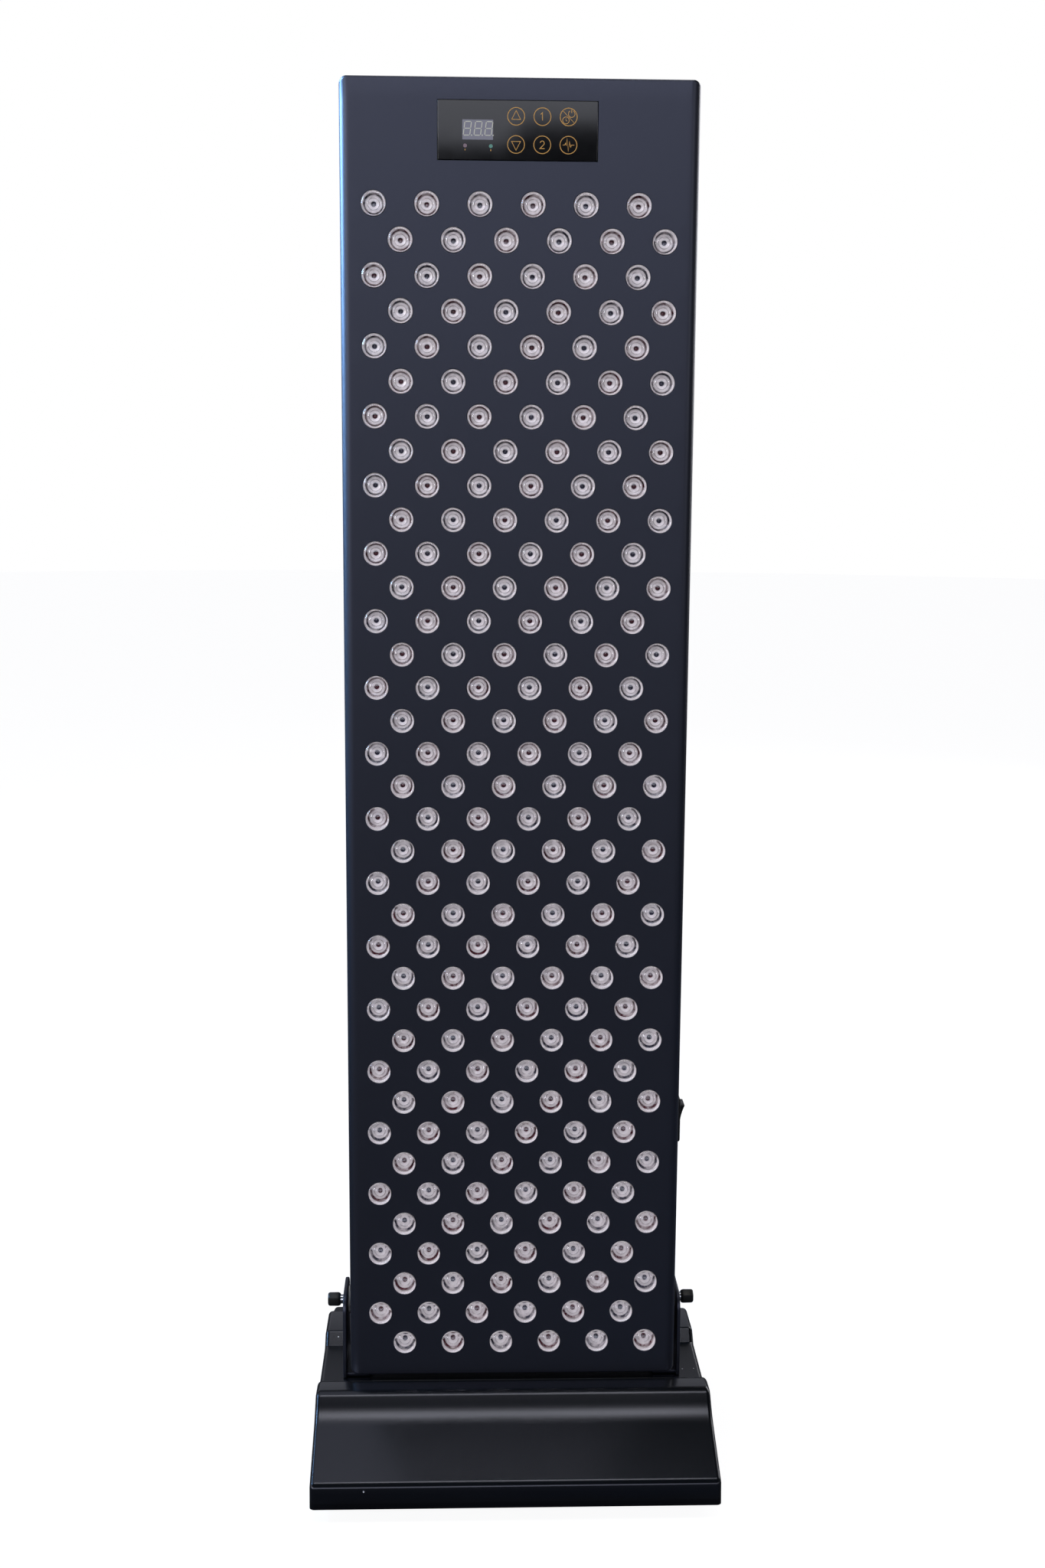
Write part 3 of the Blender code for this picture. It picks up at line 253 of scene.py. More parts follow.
@dataclass(frozen=True)
class CupFinish(Finish):
    """Moulded lens cup, whose rings are painted from its middle to its rim: the near-white rim is
    a painted highlight and the dark ring is a painted reflection.

    A stop is a share of the cup's radius with its tone under a red lamp and under an infrared
    one. The noise breaks up all rings but the chip in the middle, so that the painted reflection
    comes and goes.
    """

    stops: tuple[tuple[float, str, str], ...] = ()
    chip_share: float = 0.2
    broken_below: Pair = (0.38, 0.58)
    least_tone: float = 0.15

    def colours(self, tree: Tree, place: Socket, noise: Socket) -> Socket:
        """Reads the ring share and the kind of lamp from the piece's own attributes.

        Args:
            tree: the material's tree.
            place: not used, because the attributes say where a point is.
            noise: the shared pattern, from 0 to 1.

        Returns:
            The colour's socket.
        """
        ring = add_node(tree, "ShaderNodeAttribute", {"attribute_name": "ring_share"})
        lamp = add_node(tree, "ShaderNodeAttribute", {"attribute_name": "red_lamp"})
        ramps = []
        for kind in (1, 2):
            ramp = add_node(tree, "ShaderNodeValToRGB", Fac=ring.outputs["Fac"])
            elements = ramp.color_ramp.elements
            for stop in self.stops[2:]:
                elements.new(stop[0])
            for element, stop in zip(elements, self.stops):
                element.position, element.color = stop[0], rgba(stop[kind])
            ramps.append(ramp.outputs[0])
        tone = add_node(tree, "ShaderNodeMix", COLOUR_MIX, Factor=lamp.outputs["Fac"],
                        i6=ramps[1], i7=ramps[0])
        # Where the noise is low the rings fade to a pale tone, which breaks up the painted
        # reflection
        low, high = self.broken_below
        whole = add_node(tree, "ShaderNodeMapRange", Value=noise, From_Min=low, From_Max=high,
                         To_Min=self.least_tone, To_Max=1.0)
        chip = add_node(tree, "ShaderNodeMath", LESS_THAN, i0=ring.outputs["Fac"],
                        i1=self.chip_share)
        kept = add_node(tree, "ShaderNodeMath", {"operation": "MAXIMUM"}, i0=whole.outputs[0],
                        i1=chip.outputs[0])
        return add_node(tree, "ShaderNodeMix", COLOUR_MIX, Factor=kept.outputs[0],
                        i6=rgba(self.stops[-2][1]), i7=tone.outputs[2]).outputs[2]


@dataclass(frozen=True)
class FloorFinish(Finish):
    """The stage's floor: pale to look at, darker in what it lights, as a dim room's floor."""

    lit: str = "#55555A"
    glow: float = 0.90

    def colours(self, tree: Tree, place: Socket, noise: Socket) -> Socket:
        """Chooses between the two tones by whether the floor is seen or only gives light."""
        seen = add_node(tree, "ShaderNodeLightPath").outputs["Is Camera Ray"]
        return add_node(tree, "ShaderNodeMix", COLOUR_MIX, Factor=seen, i6=rgba(self.lit),
                        i7=super().colours(tree, place, noise)).outputs[2]

    def material(self) -> bpy.types.Material:
        """Makes the material and adds the glow that keeps the seen floor near white.

        Returns:
            The material.
        """
        material = super().material()
        tree = material.node_tree
        shader = next(node for node in tree.nodes if node.type == "BSDF_PRINCIPLED")
        seen = add_node(tree, "ShaderNodeLightPath").outputs["Is Camera Ray"]
        glow = add_node(tree, "ShaderNodeMath", PRODUCT, i0=seen, i1=self.glow)
        shader.inputs["Emission Color"].default_value = rgba("#FFFFFF")
        tree.links.new(glow.outputs[0], shader.inputs["Emission Strength"])
        return material


# Matt powder coat over sheet steel, near black with a blue cast: a fine even grain, soft sheen
CASE_PAINT = Finish("matt_navy_powder_coat", "#07090E", "#0A0D13", 0.42, 0.45, bump_mm=0.010,
                    specular=0.92, gloss="#DBE1FF")
# Satin powder coat: smoother than the case's, so its ridges carry sharper highlights
BASE_PAINT = ChippedPaint("satin_black_powder_coat", "#090B0E", "#0C0F13", 0.22, 0.5,
                          bump_mm=0.003, specular=0.5, gloss="#EDEFFF",
                          chips=((-0.0929, -0.1242, 0.0193, 0.0007),
                                 (-0.1258, -0.1244, 0.0168, 0.0006),
                                 (0.1137, -0.0170, 0.0429, 0.0004),
                                 (0.1212, -0.0165, 0.0429, 0.0004),
                                 (-0.1170, 0.0260, 0.0470, 0.0005)))
# Moulded acrylic lens: clear, smooth, with sharp glints
LENS_CLEAR = Finish("clear_moulded_acrylic", "#FFFFFF", "#FBFAFF", 0.03, 6.0, ior=1.49,
                    transmission=1.0)
# The cup behind the lens: pale, with a near-white rim that is a painted highlight and a broken
# dark ring of painted reflection that takes the lamp's tint
LENS_CUP = CupFinish("lens_cup_painted_highlight_and_reflection", "#FFFFFF", "#FFFFFF", 0.25, 3.2, metallic=0.1,
                     stops=((0.0, "#6A4248", "#565360"), (0.07, "#451A22", "#2B2936"),
                            (0.14, "#55303A", "#403D50"), (0.17, "#D0C8C6", "#D0C9C7"),
                            (0.25, "#D6CECC", "#D6CFCD"), (0.33, "#D0C8C6", "#D0C9C7"),
                            (0.35, "#958985", "#928D8F"), (0.38, "#CFC7C5", "#CFC8C6"),
                            # 0.54 to 0.64: the dark ring, a painted reflection
                            (0.50, "#C8BFBE", "#C8C1C0"), (0.54, "#571924", "#3A3847"),
                            (0.64, "#62222D", "#444250"), (0.68, "#D6CDCB", "#D6CFCE"),
                            # 0.80 to the rim: near white, a painted highlight
                            (0.80, "#E6DEDC", "#E6E0DE"), (1.0, "#FFF9F7", "#FFF9F7")))
# Black screen-printed pane: a hard gloss with nearly no texture
PANE_GLOSS = Finish("gloss_black_printed_pane", "#050608", "#07080B", 0.05, 9.0, ior=1.52,
                    specular=0.6, texture=Texture.CLOUDED)
# Metallic ink, screen printed: a warm matt gold line
GOLD_PRINT = Finish("gold_screen_print", "#E0A64C", "#E8B25A", 0.45, 1.5)
# Tinted film over an unlit display: flat grey, half glossy
DISPLAY_GREY = Finish("grey_display_filter", "#8C8B98", "#9796A4", 0.30, 3.0)
# Cast resin of the segments and lamps, pale while unlit
SEGMENT_PALE = Finish("pale_unlit_segment", "#E2E2CE", "#EAEAD8", 0.40, 1.0)
DOT_PINK = Finish("unlit_pink_indicator", "#8D7480", "#967D88", 0.30, 1.0)
DOT_GREEN = Finish("unlit_green_indicator", "#5FA08E", "#69A997", 0.30, 1.0)
# Moulded ABS with a fine spark-eroded texture: a soft, broken sheen
BLACK_ABS = Finish("black_moulded_abs", "#0B0B0C", "#101011", 0.42, 0.5, bump_mm=0.008)
# The same plastic from a polished mould: nearly smooth, with clear highlights
ROCKER_ABS = Finish("gloss_black_rocker_abs", "#090909", "#0C0C0C", 0.25, 0.8, bump_mm=0.003)
# White pad-printed ink, matt and slightly grey
WHITE_PRINT = Finish("white_screen_print", "#C8C8C8", "#D0D0D0", 0.5, 1.0)
# Zinc plate over turned or stamped steel: bright, faintly blue and clouded
ZINC = Finish("zinc_plated_steel", "#B4B7BC", "#C6C9CE", 0.26, 1.5, metallic=1.0,
              wander=0.35, texture=Texture.CLOUDED)
# Bright nickel over brass: warm and mirror-like
NICKEL = Finish("nickel_plated_brass", "#C8C2B4", "#D2CCBE", 0.22, 1.5, metallic=1.0,
                texture=Texture.CLOUDED)
# Bare extruded aluminium: fine lines along its length, which stretch the highlights
ALUMINIUM = Finish("extruded_aluminium", "#C2C4C8", "#CDCFD3", 0.36, 0.5, bump_mm=0.006,
                   metallic=1.0, texture=Texture.DRAWN)
# Turned nylon, milky and waxy
NYLON = Finish("natural_nylon", "#D6D4CA", "#DDDBD2", 0.48, 1.2, bump_mm=0.004)
# Compression-moulded rubber: coarse and dull
RUBBER = Finish("black_moulded_rubber", "#0C0C0C", "#131313", 0.78, 0.6, bump_mm=0.015)
# Solder mask over a metal-core board, white to throw the light forward
LAMP_BOARD = Finish("white_solder_mask", "#D9DAD6", "#E2E3E0", 0.42, 2.0, bump_mm=0.004)
# Solder mask over a glass-fibre board
GREEN_BOARD = Finish("green_solder_mask", "#0D3A20", "#124628", 0.36, 2.0, bump_mm=0.004)
# The stage's floor, plain and matt
FLOOR_PALE = FloorFinish("pale_floor", "#8C8C8C", "#909090", 0.75, 40.0, specular=0.1)


# Outlines and surfaces


def ways(angles: Array) -> Array:
    """The cosine and sine of each angle, as a last axis of x and y."""
    return np.stack([np.cos(angles), np.sin(angles)], axis=-1)


def quarter(steps: int) -> Array:
    """Angles from nothing to a right angle, in equal steps."""
    return np.linspace(0, math.pi / 2, steps + 1)


def circle(radius: float, count: int) -> Array:
    """Points round a circle: radius times the cosine and sine of equal angles."""
    return radius * ways(np.arange(count) * TAU / count)


def hexagon(flat: float, count: int, power: float = 1.0) -> Array:
    """A hexagon: the distance of its flats over the cosine of the angle from a flat's middle.

    Args:
        flat: the distance from the middle to a flat.
        count: how many points.
        power: the power of the cosine, which eases the corners where it is below one.

    Returns:
        The points, count x 2.
    """
    away = (np.arange(count) * TAU / count + TAU / 12) % (TAU / 6) - TAU / 12
    return circle(flat, count) / np.cos(away)[:, None] ** power


def rounded(corners: list[Triple], steps: int = 6) -> Array:
    """An outline whose corners are arcs that touch the two straight lines at each corner.

    Args:
        corners: x, y and radius of each corner, counter-clockwise.
        steps: steps of each arc.

    Returns:
        The points of the closed outline.
    """
    places = np.array(corners, float)
    parts = []
    for index, (x, y, radius) in enumerate(corners):
        corner = np.array([x, y])
        before = places[index - 1, :2] - corner
        after = places[(index + 1) % len(corners), :2] - corner
        before, after = before / np.linalg.norm(before), after / np.linalg.norm(after)
        if radius <= 0:
            parts.append(corner[None])
            continue
        half = math.acos(float(np.clip(before @ after, -1, 1))) / 2
        reach = radius / math.tan(half)
        bisector = (before + after) / np.linalg.norm(before + after)
        centre = corner + bisector * radius / math.sin(half)
        first, last = corner + before * reach - centre, corner + after * reach - centre
        start = math.atan2(first[1], first[0])
        sweep = (math.atan2(last[1], last[0]) - start + math.pi) % TAU - math.pi
        parts.append(centre + radius * ways(start + sweep * np.arange(steps + 1) / steps))
    return np.concatenate(parts)


def arc(centre: Pair, radius: float, start: float, sweep: float, steps: int = 40) -> Pairs:
    """Points along an arc, with its angles in degrees."""
    angles = np.radians(start + sweep * np.arange(steps + 1) / steps)
    return tuple(map(tuple, (np.array(centre) + radius * ways(angles)).tolist()))


def rounded_box(width: float, height: float, radius: float, steps: int = 6) -> Array:
    """A rectangle about the origin with rounded corners, counter-clockwise."""
    x, y = width / 2, height / 2
    return rounded([(-x, -y, radius), (x, -y, radius), (x, y, radius), (-x, y, radius)], steps)


def inset(outline: Array, by: float, closed: bool = True) -> Array:
    """Moves an outline to its left by a distance, square to each of its lines.

    Each point moves along the mean of its two lines' normals, far enough that both lines move
    by the same distance.

    Args:
        outline: the points, counter-clockwise for a move inwards.
        by: the distance.
        closed: whether the last point joins the first.

    Returns:
        The moved points.
    """
    ahead = np.roll(outline, -1, axis=0) - outline
    behind = outline - np.roll(outline, 1, axis=0)
    if not closed:
        ahead[-1], behind[0] = behind[-1], ahead[0]
    normals = []
    for line in (ahead, behind):
        line = line / np.maximum(np.linalg.norm(line, axis=1, keepdims=True), 1e-12)
        normals.append(np.stack([-line[:, 1], line[:, 0]], axis=1))
    mean = normals[0] + normals[1]
    mean /= np.linalg.norm(mean, axis=1, keepdims=True)
    stretch = np.sum(mean * normals[0], axis=1, keepdims=True)
    return outline + mean * by / np.maximum(stretch, 0.3)


def edge_levels(height: float, radius: float, steps: int = 3) -> list[Pair]:
    """Quarter-round edges at the bottom and top of a plate.

    Args:
        height: the plate's thickness.
        radius: the radius of both edges.
        steps: steps of each quarter.

    Returns:
        Pairs of inset and height, from the bottom face to the top face.
    """
    low = [(radius * (1 - math.sin(angle)), radius * (1 - math.cos(angle)))
           for angle in quarter(steps)]
    return low + [(move, height - rise) for move, rise in reversed(low)]


def upright(flat: Array, y: Array | float) -> Array:
    """Stands x and z points in the object at depths y."""
    return np.stack([flat[..., 0], np.broadcast_to(y, flat.shape[:-1]), flat[..., 1]], axis=-1)


class Facing(Enum):
    """The two axes of a flat drawing, and so the way it faces."""

    FRONT = ((1, 0, 0), (0, 0, 1))
    BACK = ((-1, 0, 0), (0, 0, 1))
    RIGHT = ((0, 1, 0), (0, 0, 1))
    LEFT = ((0, -1, 0), (0, 0, 1))
    UP = ((1, 0, 0), (0, 1, 0))


@dataclass(frozen=True)
class Plane:
    """A flat drawing's place in the object: its origin and the way it faces."""

    origin: Triple
    facing: Facing

    def lift(self, outline: Array, height: Array | float) -> Array:
        """Lays drawn points in the object: origin plus x and y along the plane's axes.

        Args:
            outline: points, any shape that ends in 2.
            height: how far they stand out of the plane.

        Returns:
            The points in the object, in the same shape that ends in 3.
        """
        u, v = (np.array(axis, float) for axis in self.facing.value)
        out = np.asarray(height)[..., None] * np.cross(u, v)
        return np.array(self.origin) + outline[..., :1] * u + outline[..., 1:2] * v + out


class Skin:
    """Gathers the surfaces of one piece and makes its mesh."""

    def __init__(self) -> None:
        """Starts with no surface."""
        self.points: list[Array] = []
        self.faces: list[list[int]] = []
        self.slots: list[int] = []
        self.marks: dict[str, list[Array]] = {}
        self.count = 0

    def _take(self, points: Array) -> int:
        """Keeps some points.

        Args:
            points: any shape that ends in 3.

        Returns:
            The number of the first of them.
        """
        first = self.count
        self.points.append(points.reshape(-1, 3))
        self.count += len(self.points[-1])
        return first

    def grid(self, points: Array, slot: int = 0, wrap: bool = True, ring: bool = False) -> None:
        """Adds surfaces over grids of points.

        Args:
            points: rows x columns x 3, or the same with a first axis for several copies.
            slot: the number of the finish.
            wrap: whether the last column joins the first.
            ring: whether the last row joins the first.
        """
        copies = points if points.ndim == 4 else points[None]
        first = self._take(copies)
        number, rows, columns = copies.shape[:3]
        index = np.arange(rows * columns).reshape(rows, columns)
        down = np.roll(index, -1, axis=0) if ring else index[1:]
        here = index if ring else index[:-1]
        right_here, right_down = np.roll(here, -1, axis=1), np.roll(down, -1, axis=1)
        quads = np.stack([here, right_here, right_down, down], axis=-1)
        if not wrap:
            quads = quads[:, :-1]
        firsts = first + np.arange(number) * rows * columns
        quads = quads.reshape(1, -1, 4) + firsts[:, None, None]
        self.faces += quads.reshape(-1, 4).tolist()
        self.slots += [slot] * (quads.shape[0] * quads.shape[1])

    def cap(self, loop: Array, slot: int = 0) -> None:
        """Closes a loop of points with one flat face.

        Args:
            loop: the points.
            slot: the number of the finish.
        """
        first = self._take(loop)
        self.faces.append(list(range(first, first + len(loop))))
        self.slots.append(slot)

    def solid(self, loops: Array, slot: int = 0) -> None:
        """Adds a closed body: loops joined in turn, with a flat face over each end.

        Args:
            loops: rows x columns x 3.
            slot: the number of the finish.
        """
        self.grid(loops, slot)
        self.cap(loops[0][::-1], slot)
        self.cap(loops[-1], slot)

    def stack(self, plane: Plane, loops: list[tuple[Array, float]], slot: int = 0,
              ends: bool = True, ring: bool = False) -> None:
        """Joins drawn loops at heights over a plane.

        Args:
            plane: where they are drawn.
            loops: pairs of outline and height.
            slot: the number of the finish.
            ends: whether a flat face closes both ends.
            ring: whether the last loop joins the first.
        """
        lifted = np.stack([plane.lift(outline, height) for outline, height in loops])
        if ends:
            self.solid(lifted, slot)
        else:
            self.grid(lifted, slot, ring=ring)

    def plate(self, plane: Plane, outline: Array, height: float, radius: float,
              slot: int = 0) -> None:
        """Adds a flat plate with round edges, standing on a plane.

        Args:
            plane: where it stands.
            outline: its outline, counter-clockwise.
            height: its thickness.
            radius: the radius of its edges.
            slot: the number of the finish.
        """
        levels = edge_levels(height, radius)
        self.stack(plane, [(inset(outline, move), rise) for move, rise in levels], slot)

    def turned(self, plane: Plane, profile: list[Pair] | Pairs, count: int = 32,
               slot: int = 0, ring: bool = False) -> None:
        """Adds a turned body: its profile carried round the plane's normal.

        Args:
            plane: its origin lies on the axis.
            profile: pairs of radius and height, from the bottom up the outside.
            count: points round the axis.
            slot: the number of the finish.
            ring: whether the profile closes on itself, as on a washer.
        """
        self.stack(plane, [(circle(radius, count), rise) for radius, rise in profile], slot,
                   ends=False, ring=ring)

    def mark(self, name: str, values: Array) -> None:
        """Keeps a value for each of the points taken last, as a named attribute."""
        self.marks.setdefault(name, []).append(values.reshape(-1))

    def build(self, name: str, body: str, finishes: list[Finish], slot_name: str,
              replaces: tuple[str, ...] = ()) -> bpy.types.Object:
        """Makes the piece, lets it ride on its body and reports it.

        Args:
            name: the piece's name.
            body: the body of the solids that it moves with.
            finishes: its finishes, in the order of their numbers.
            slot_name: the record's material slot; not used.
            replaces: the solids that it stands for.

        Returns:
            The new object.
        """
        mesh = bpy.data.meshes.new(name)
        mesh.from_pydata(np.concatenate(self.points), [], self.faces)
        for finish in finishes:
            mesh.materials.append(finish.material())
        mesh.polygons.foreach_set("material_index", np.array(self.slots, np.int32))
        for mark, values in self.marks.items():
            layer = mesh.attributes.new(mark, "FLOAT", "POINT")
            layer.data.foreach_set("value", np.concatenate(values).astype(np.float32))
        shape = bmesh.new()
        shape.from_mesh(mesh)
        bmesh.ops.remove_doubles(shape, verts=shape.verts, dist=MERGE)
        bmesh.ops.dissolve_degenerate(shape, dist=MERGE, edges=shape.edges)
        bmesh.ops.recalc_face_normals(shape, faces=shape.faces)
        shape.to_mesh(mesh)
        shape.free()
        mesh.shade_smooth()
        mesh.set_sharp_from_angle(angle=SHARP_ANGLE)
        corners = np.zeros(len(mesh.polygons), np.int32)
        mesh.polygons.foreach_get("loop_total", corners)
        mesh.polygons.foreach_set("use_smooth", corners <= 4)
        piece = bpy.data.objects.new(name, mesh)
        bpy.context.scene.collection.objects.link(piece)
        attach(piece, body)
        if replaces:
            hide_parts(*replaces)
        log.info("%s: %d faces on %s", name, len(mesh.polygons), body)
        return piece


def middle(node: str) -> Vector:
    """The middle of a solid's box."""
    low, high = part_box(node)
    return (low + high) / 2


def rear_plane(node: str, y: float, x: float = 0, z: float = 0) -> Plane:
    """A plane that faces back at a depth, over a solid's middle or beside it."""
    place = middle(node)
    return Plane((place.x + x, y, place.z + z), Facing.BACK)


def pivot(joint: str) -> Triple:
    """A point on a joint's axis."""
    return next(found for found in frame["joints"] if found["name"] == joint)["pos_m"]


# The lens field


@dataclass
class LensField:
    """Where the lenses are: staggered rows, shifted by turns to the left and to the right."""

    pitch: float = 0.031
    row_pitch: float = 0.02025
    rows: int = 36
    columns: int = 6
    top_margin: float = 0.0708
    stagger_share: float = 0.25
    rows_per_tray: int = 6

    def heights(self, rows: Array) -> Array:
        """The height of each row, counted down from the top of the case."""
        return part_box("front_cover")[1].z - self.top_margin - rows * self.row_pitch

    def centres(self, rows: Array) -> Array:
        """The middles of the lenses of some rows.

        Args:
            rows: the rows' numbers, from the top.

        Returns:
            x and z of each lens, rows x columns x 2.
        """
        column = np.arange(self.columns) - (self.columns - 1) / 2
        shift = np.where(rows % 2, self.stagger_share, -self.stagger_share)
        x = (column[None, :] + shift[:, None]) * self.pitch
        z = np.broadcast_to(self.heights(rows)[:, None], x.shape)
        return np.stack([x, z], axis=-1)


# The case


@dataclass
class PanelCase:
    """The folded case: a perforated face, rounded long edges, sides and a return flange."""

    field: LensField
    sheet: float = 0.0012
    bend: float = 0.006
    fold: float = 0.0012
    corner: float = 0.0042
    flange: float = 0.014
    rear_edge: float = 0.0007
    hole_radius: float = 0.00742
    hole_edge: float = 0.00025
    window_gap: float = 0.0003
    tile_cells: int = 8
    bend_steps: int = 8
    corner_steps: int = 8
    edge_steps: int = 3
    window_rows: int = 4

    def __post_init__(self) -> None:
        """Takes the case's corners from the solid."""
        self.low, self.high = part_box("front_cover")
        self.side, self.front, self.back = self.high.x, self.low.y, self.high.y
        self.flat = self.side - self.bend
        self.step = self.field.pitch / self.tile_cells
        reach = math.ceil(self.flat / self.step)
        self.columns = np.clip(np.arange(-reach, reach + 1) * self.step, -self.flat, self.flat)
        self.face_bottom, self.face_top = self.low.z + self.fold, self.high.z - self.fold
        half = self.field.row_pitch / 2
        last = np.array([0, self.field.rows - 1])
        self.field_top, self.field_bottom = self.field.heights(last) + np.array([half, -half])
        self.skin = Skin()

    def _at(self, x: Array, z: Array, depth: float) -> Array:
        """Points at a depth behind the face."""
        return upright(np.stack(np.broadcast_arrays(x, z), axis=-1), self.front + depth)

    def _tiles(self) -> None:
        """A tile round each hole: its square outline is joined to the hole's circle.

        The outline and the circle have the same number of points, from the lower left corner
        round, and the circle steps down over a small round edge to the back of the sheet.
        """
        cells = self.tile_cells
        centres = self.field.centres(np.arange(self.field.rows)).reshape(-1, 1, 2)
        walk = np.arange(cells) - cells // 2
        side = np.full(cells, cells // 2)
        square = np.stack([np.concatenate([walk, side, -walk, -side]),
                           np.concatenate([-side, walk, side, -walk])], axis=1)
        outline = centres + square * np.array([self.step, self.field.row_pitch / cells])
        outline[..., 0] = np.clip(outline[..., 0], -self.flat, self.flat)
        way = ways(np.arange(len(square)) * TAU / len(square) - 0.75 * math.pi)
        edge, radius = self.hole_edge, self.hole_radius
        rings = [(radius + 1.6 * edge, 0), (radius + edge, 0),
                 (radius + 0.3 * edge, 0.3 * edge), (radius, edge), (radius, self.sheet)]
        loops = [upright(outline, self.front)]
        loops += [upright(centres + reach * way, self.front + depth) for reach, depth in rings]
        loops.append(upright(outline, self.front + self.sheet))
        self.skin.grid(np.stack(loops, axis=1))

    def _fillers(self) -> None:
        """Plain strips beside the end tiles of each row, on the side that it is shifted from."""
        cells = self.tile_cells
        rise = (np.arange(cells + 1) / cells - 0.5) * self.field.row_pitch
        for parity, sign in ((1, -1), (0, 1)):
            rows = np.arange(parity, self.field.rows, 2)
            x = sign * np.abs(self.columns[:cells // 2 + 1])[::-1]
            z = self.field.heights(rows)[:, None] + rise
            for depth in (0, self.sheet):
                self.skin.grid(self._at(x[None, None, :], z[:, :, None], depth), wrap=False)

    def _head_and_foot(self) -> None:
        """The face above the lenses, with the pane's window, and the strip below them."""
        pane_low, pane_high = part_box("control_pane")
        gap = self.window_gap
        left, right = pane_low.x - gap, pane_high.x + gap
        rise = np.linspace(pane_low.z - gap, pane_high.z + gap, self.window_rows + 1)
        first, last = (int(np.argmin(np.abs(self.columns - edge))) for edge in (left, right))
        moved = self.columns.copy()
        moved[first], moved[last] = left, right
        x = np.stack([self.columns, *[moved] * len(rise), self.columns])
        z = np.concatenate([[self.field_top], rise, [self.face_top]])[:, None]
        foot = np.linspace(self.face_bottom, self.field_bottom, 3)[:, None]
        for depth in (0, self.sheet):
            whole = self._at(x, z, depth)
            self.skin.grid(whole[:2], wrap=False)
            self.skin.grid(whole[-2:], wrap=False)
            self.skin.grid(whole[1:-1, :first + 1], wrap=False)
            self.skin.grid(whole[1:-1, last:], wrap=False)
            self.skin.grid(self._at(self.columns[None], foot, depth), wrap=False)
        across, side = last - first, len(rise) - 1
        x = np.concatenate([moved[first:last], np.full(side, right), moved[last:first:-1],
                            np.full(side, left)])
        y = np.concatenate([np.full(across, rise[0]), rise[:-1], np.full(across, rise[-1]),
                            rise[:0:-1]])
        self.skin.grid(np.stack([self._at(x, y, depth) for depth in (0, self.sheet)]))
        self.head_rows, self.foot_rows = z[:, 0], foot[:, 0]

    def _edge_walk(self) -> tuple[Array, Array]:
        """The points of the face's outline.

        Returns:
            Which side or corner each is on, as in _loop, and how far along it.
        """
        cells = self.tile_cells
        tiles = np.arange(self.field.rows * cells + 1) * self.field.row_pitch / cells
        rise = np.concatenate([self.foot_rows[:-1], self.field_bottom + tiles,
                               self.head_rows[1:]])
        across = (self.columns + self.flat) / (2 * self.flat)
        up = (rise - self.face_bottom) / (self.face_top - self.face_bottom)
        turn = np.arange(1, self.corner_steps) / self.corner_steps
        parts = []
        for side, shares in enumerate((across, up, 1 - across[::-1], 1 - up[::-1])):
            parts += [(2 * side, shares), (2 * side + 1, turn)]
        kinds = np.concatenate([np.full(len(shares), kind) for kind, shares in parts])
        return kinds, np.concatenate([shares for _, shares in parts])

    def _loop(self, kinds: Array, shares: Array, inset_by: float, radius: float,
              half_width: float) -> Array:
        """A rounded rectangle walked by the shares.

        Args:
            kinds: even for the bottom, right, top and left sides, odd for the corners between.
            shares: how far along that side or corner, from 0 to 1.
            inset_by: distance inside the bottom and top of the case.
            radius: the corners' radius.
            half_width: half the rectangle's width.

        Returns:
            x and z of each point.
        """
        low, high = self.low.z + inset_by, self.high.z - inset_by
        corners = np.array([[-half_width, low], [half_width, low], [half_width, high],
                            [-half_width, high]])
        side = kinds // 2
        start, end = corners[side], corners[(side + 1) % 4]
        length = np.linalg.norm(end - start, axis=1, keepdims=True)
        along = (end - start) / length
        straight = start + along * (radius + (length - 2 * radius) * shares[:, None])
        inwards = np.stack([-along[:, 1], along[:, 0]], axis=1)
        angle = (shares * math.pi / 2)[:, None]
        centre = end - along * radius + inwards * radius
        curve = centre + radius * (along * np.sin(angle) - inwards * np.cos(angle))
        return np.where((kinds % 2)[:, None] == 0, straight, curve)

    def _rim(self) -> None:
        """The folded edges, sides and return flange, carried round the face's outline.

        From the face's edge a quarter ellipse runs to the side, as deep as the bend at the long
        sides and as the sharp fold at the short ones. Inside, the same outline returns.
        """
        kinds, shares = self._edge_walk()
        face = self._loop(kinds, shares, self.fold, 0, self.flat)
        outside = self._loop(kinds, shares, 0, self.corner, self.side)
        inside = self._loop(kinds, shares, self.sheet, self.corner - self.sheet,
                            self.side - self.sheet)
        bent = np.choose(kinds % 4, [0, shares, 1, 1 - shares])
        depth = self.fold + (self.bend - self.fold) * bent
        total = self.back - self.front
        loops = [upright(face + (outside - face) * math.sin(angle),
                         self.front + depth * (1 - math.cos(angle)))
                 for angle in quarter(self.bend_steps)]
        edge = self.rear_edge
        for angle in quarter(self.edge_steps):
            move = edge * (1 - math.cos(angle))
            around = self._loop(kinds, shares, move, self.corner - move, self.side - move)
            loops.append(upright(around, self.back - edge * (1 - math.sin(angle))))
        lip = self.sheet + self.flange
        edge_in = self._loop(kinds, shares, lip, MERGE, self.side - lip)
        loops += [upright(flat, self.front + behind) for flat, behind in (
            (edge_in, total), (edge_in, total - self.sheet), (inside, total - self.sheet),
            (inside, np.maximum(depth, self.sheet)), (face, self.sheet))]
        self.skin.grid(np.stack(loops))

    def build(self) -> None:
        """Builds the case's fine surface."""
        self._tiles()
        self._fillers()
        self._head_and_foot()
        self._rim()
        self.skin.build("case_front", "panel", [CASE_PAINT], "case_paint", ("front_cover",))


# Lenses and their cups


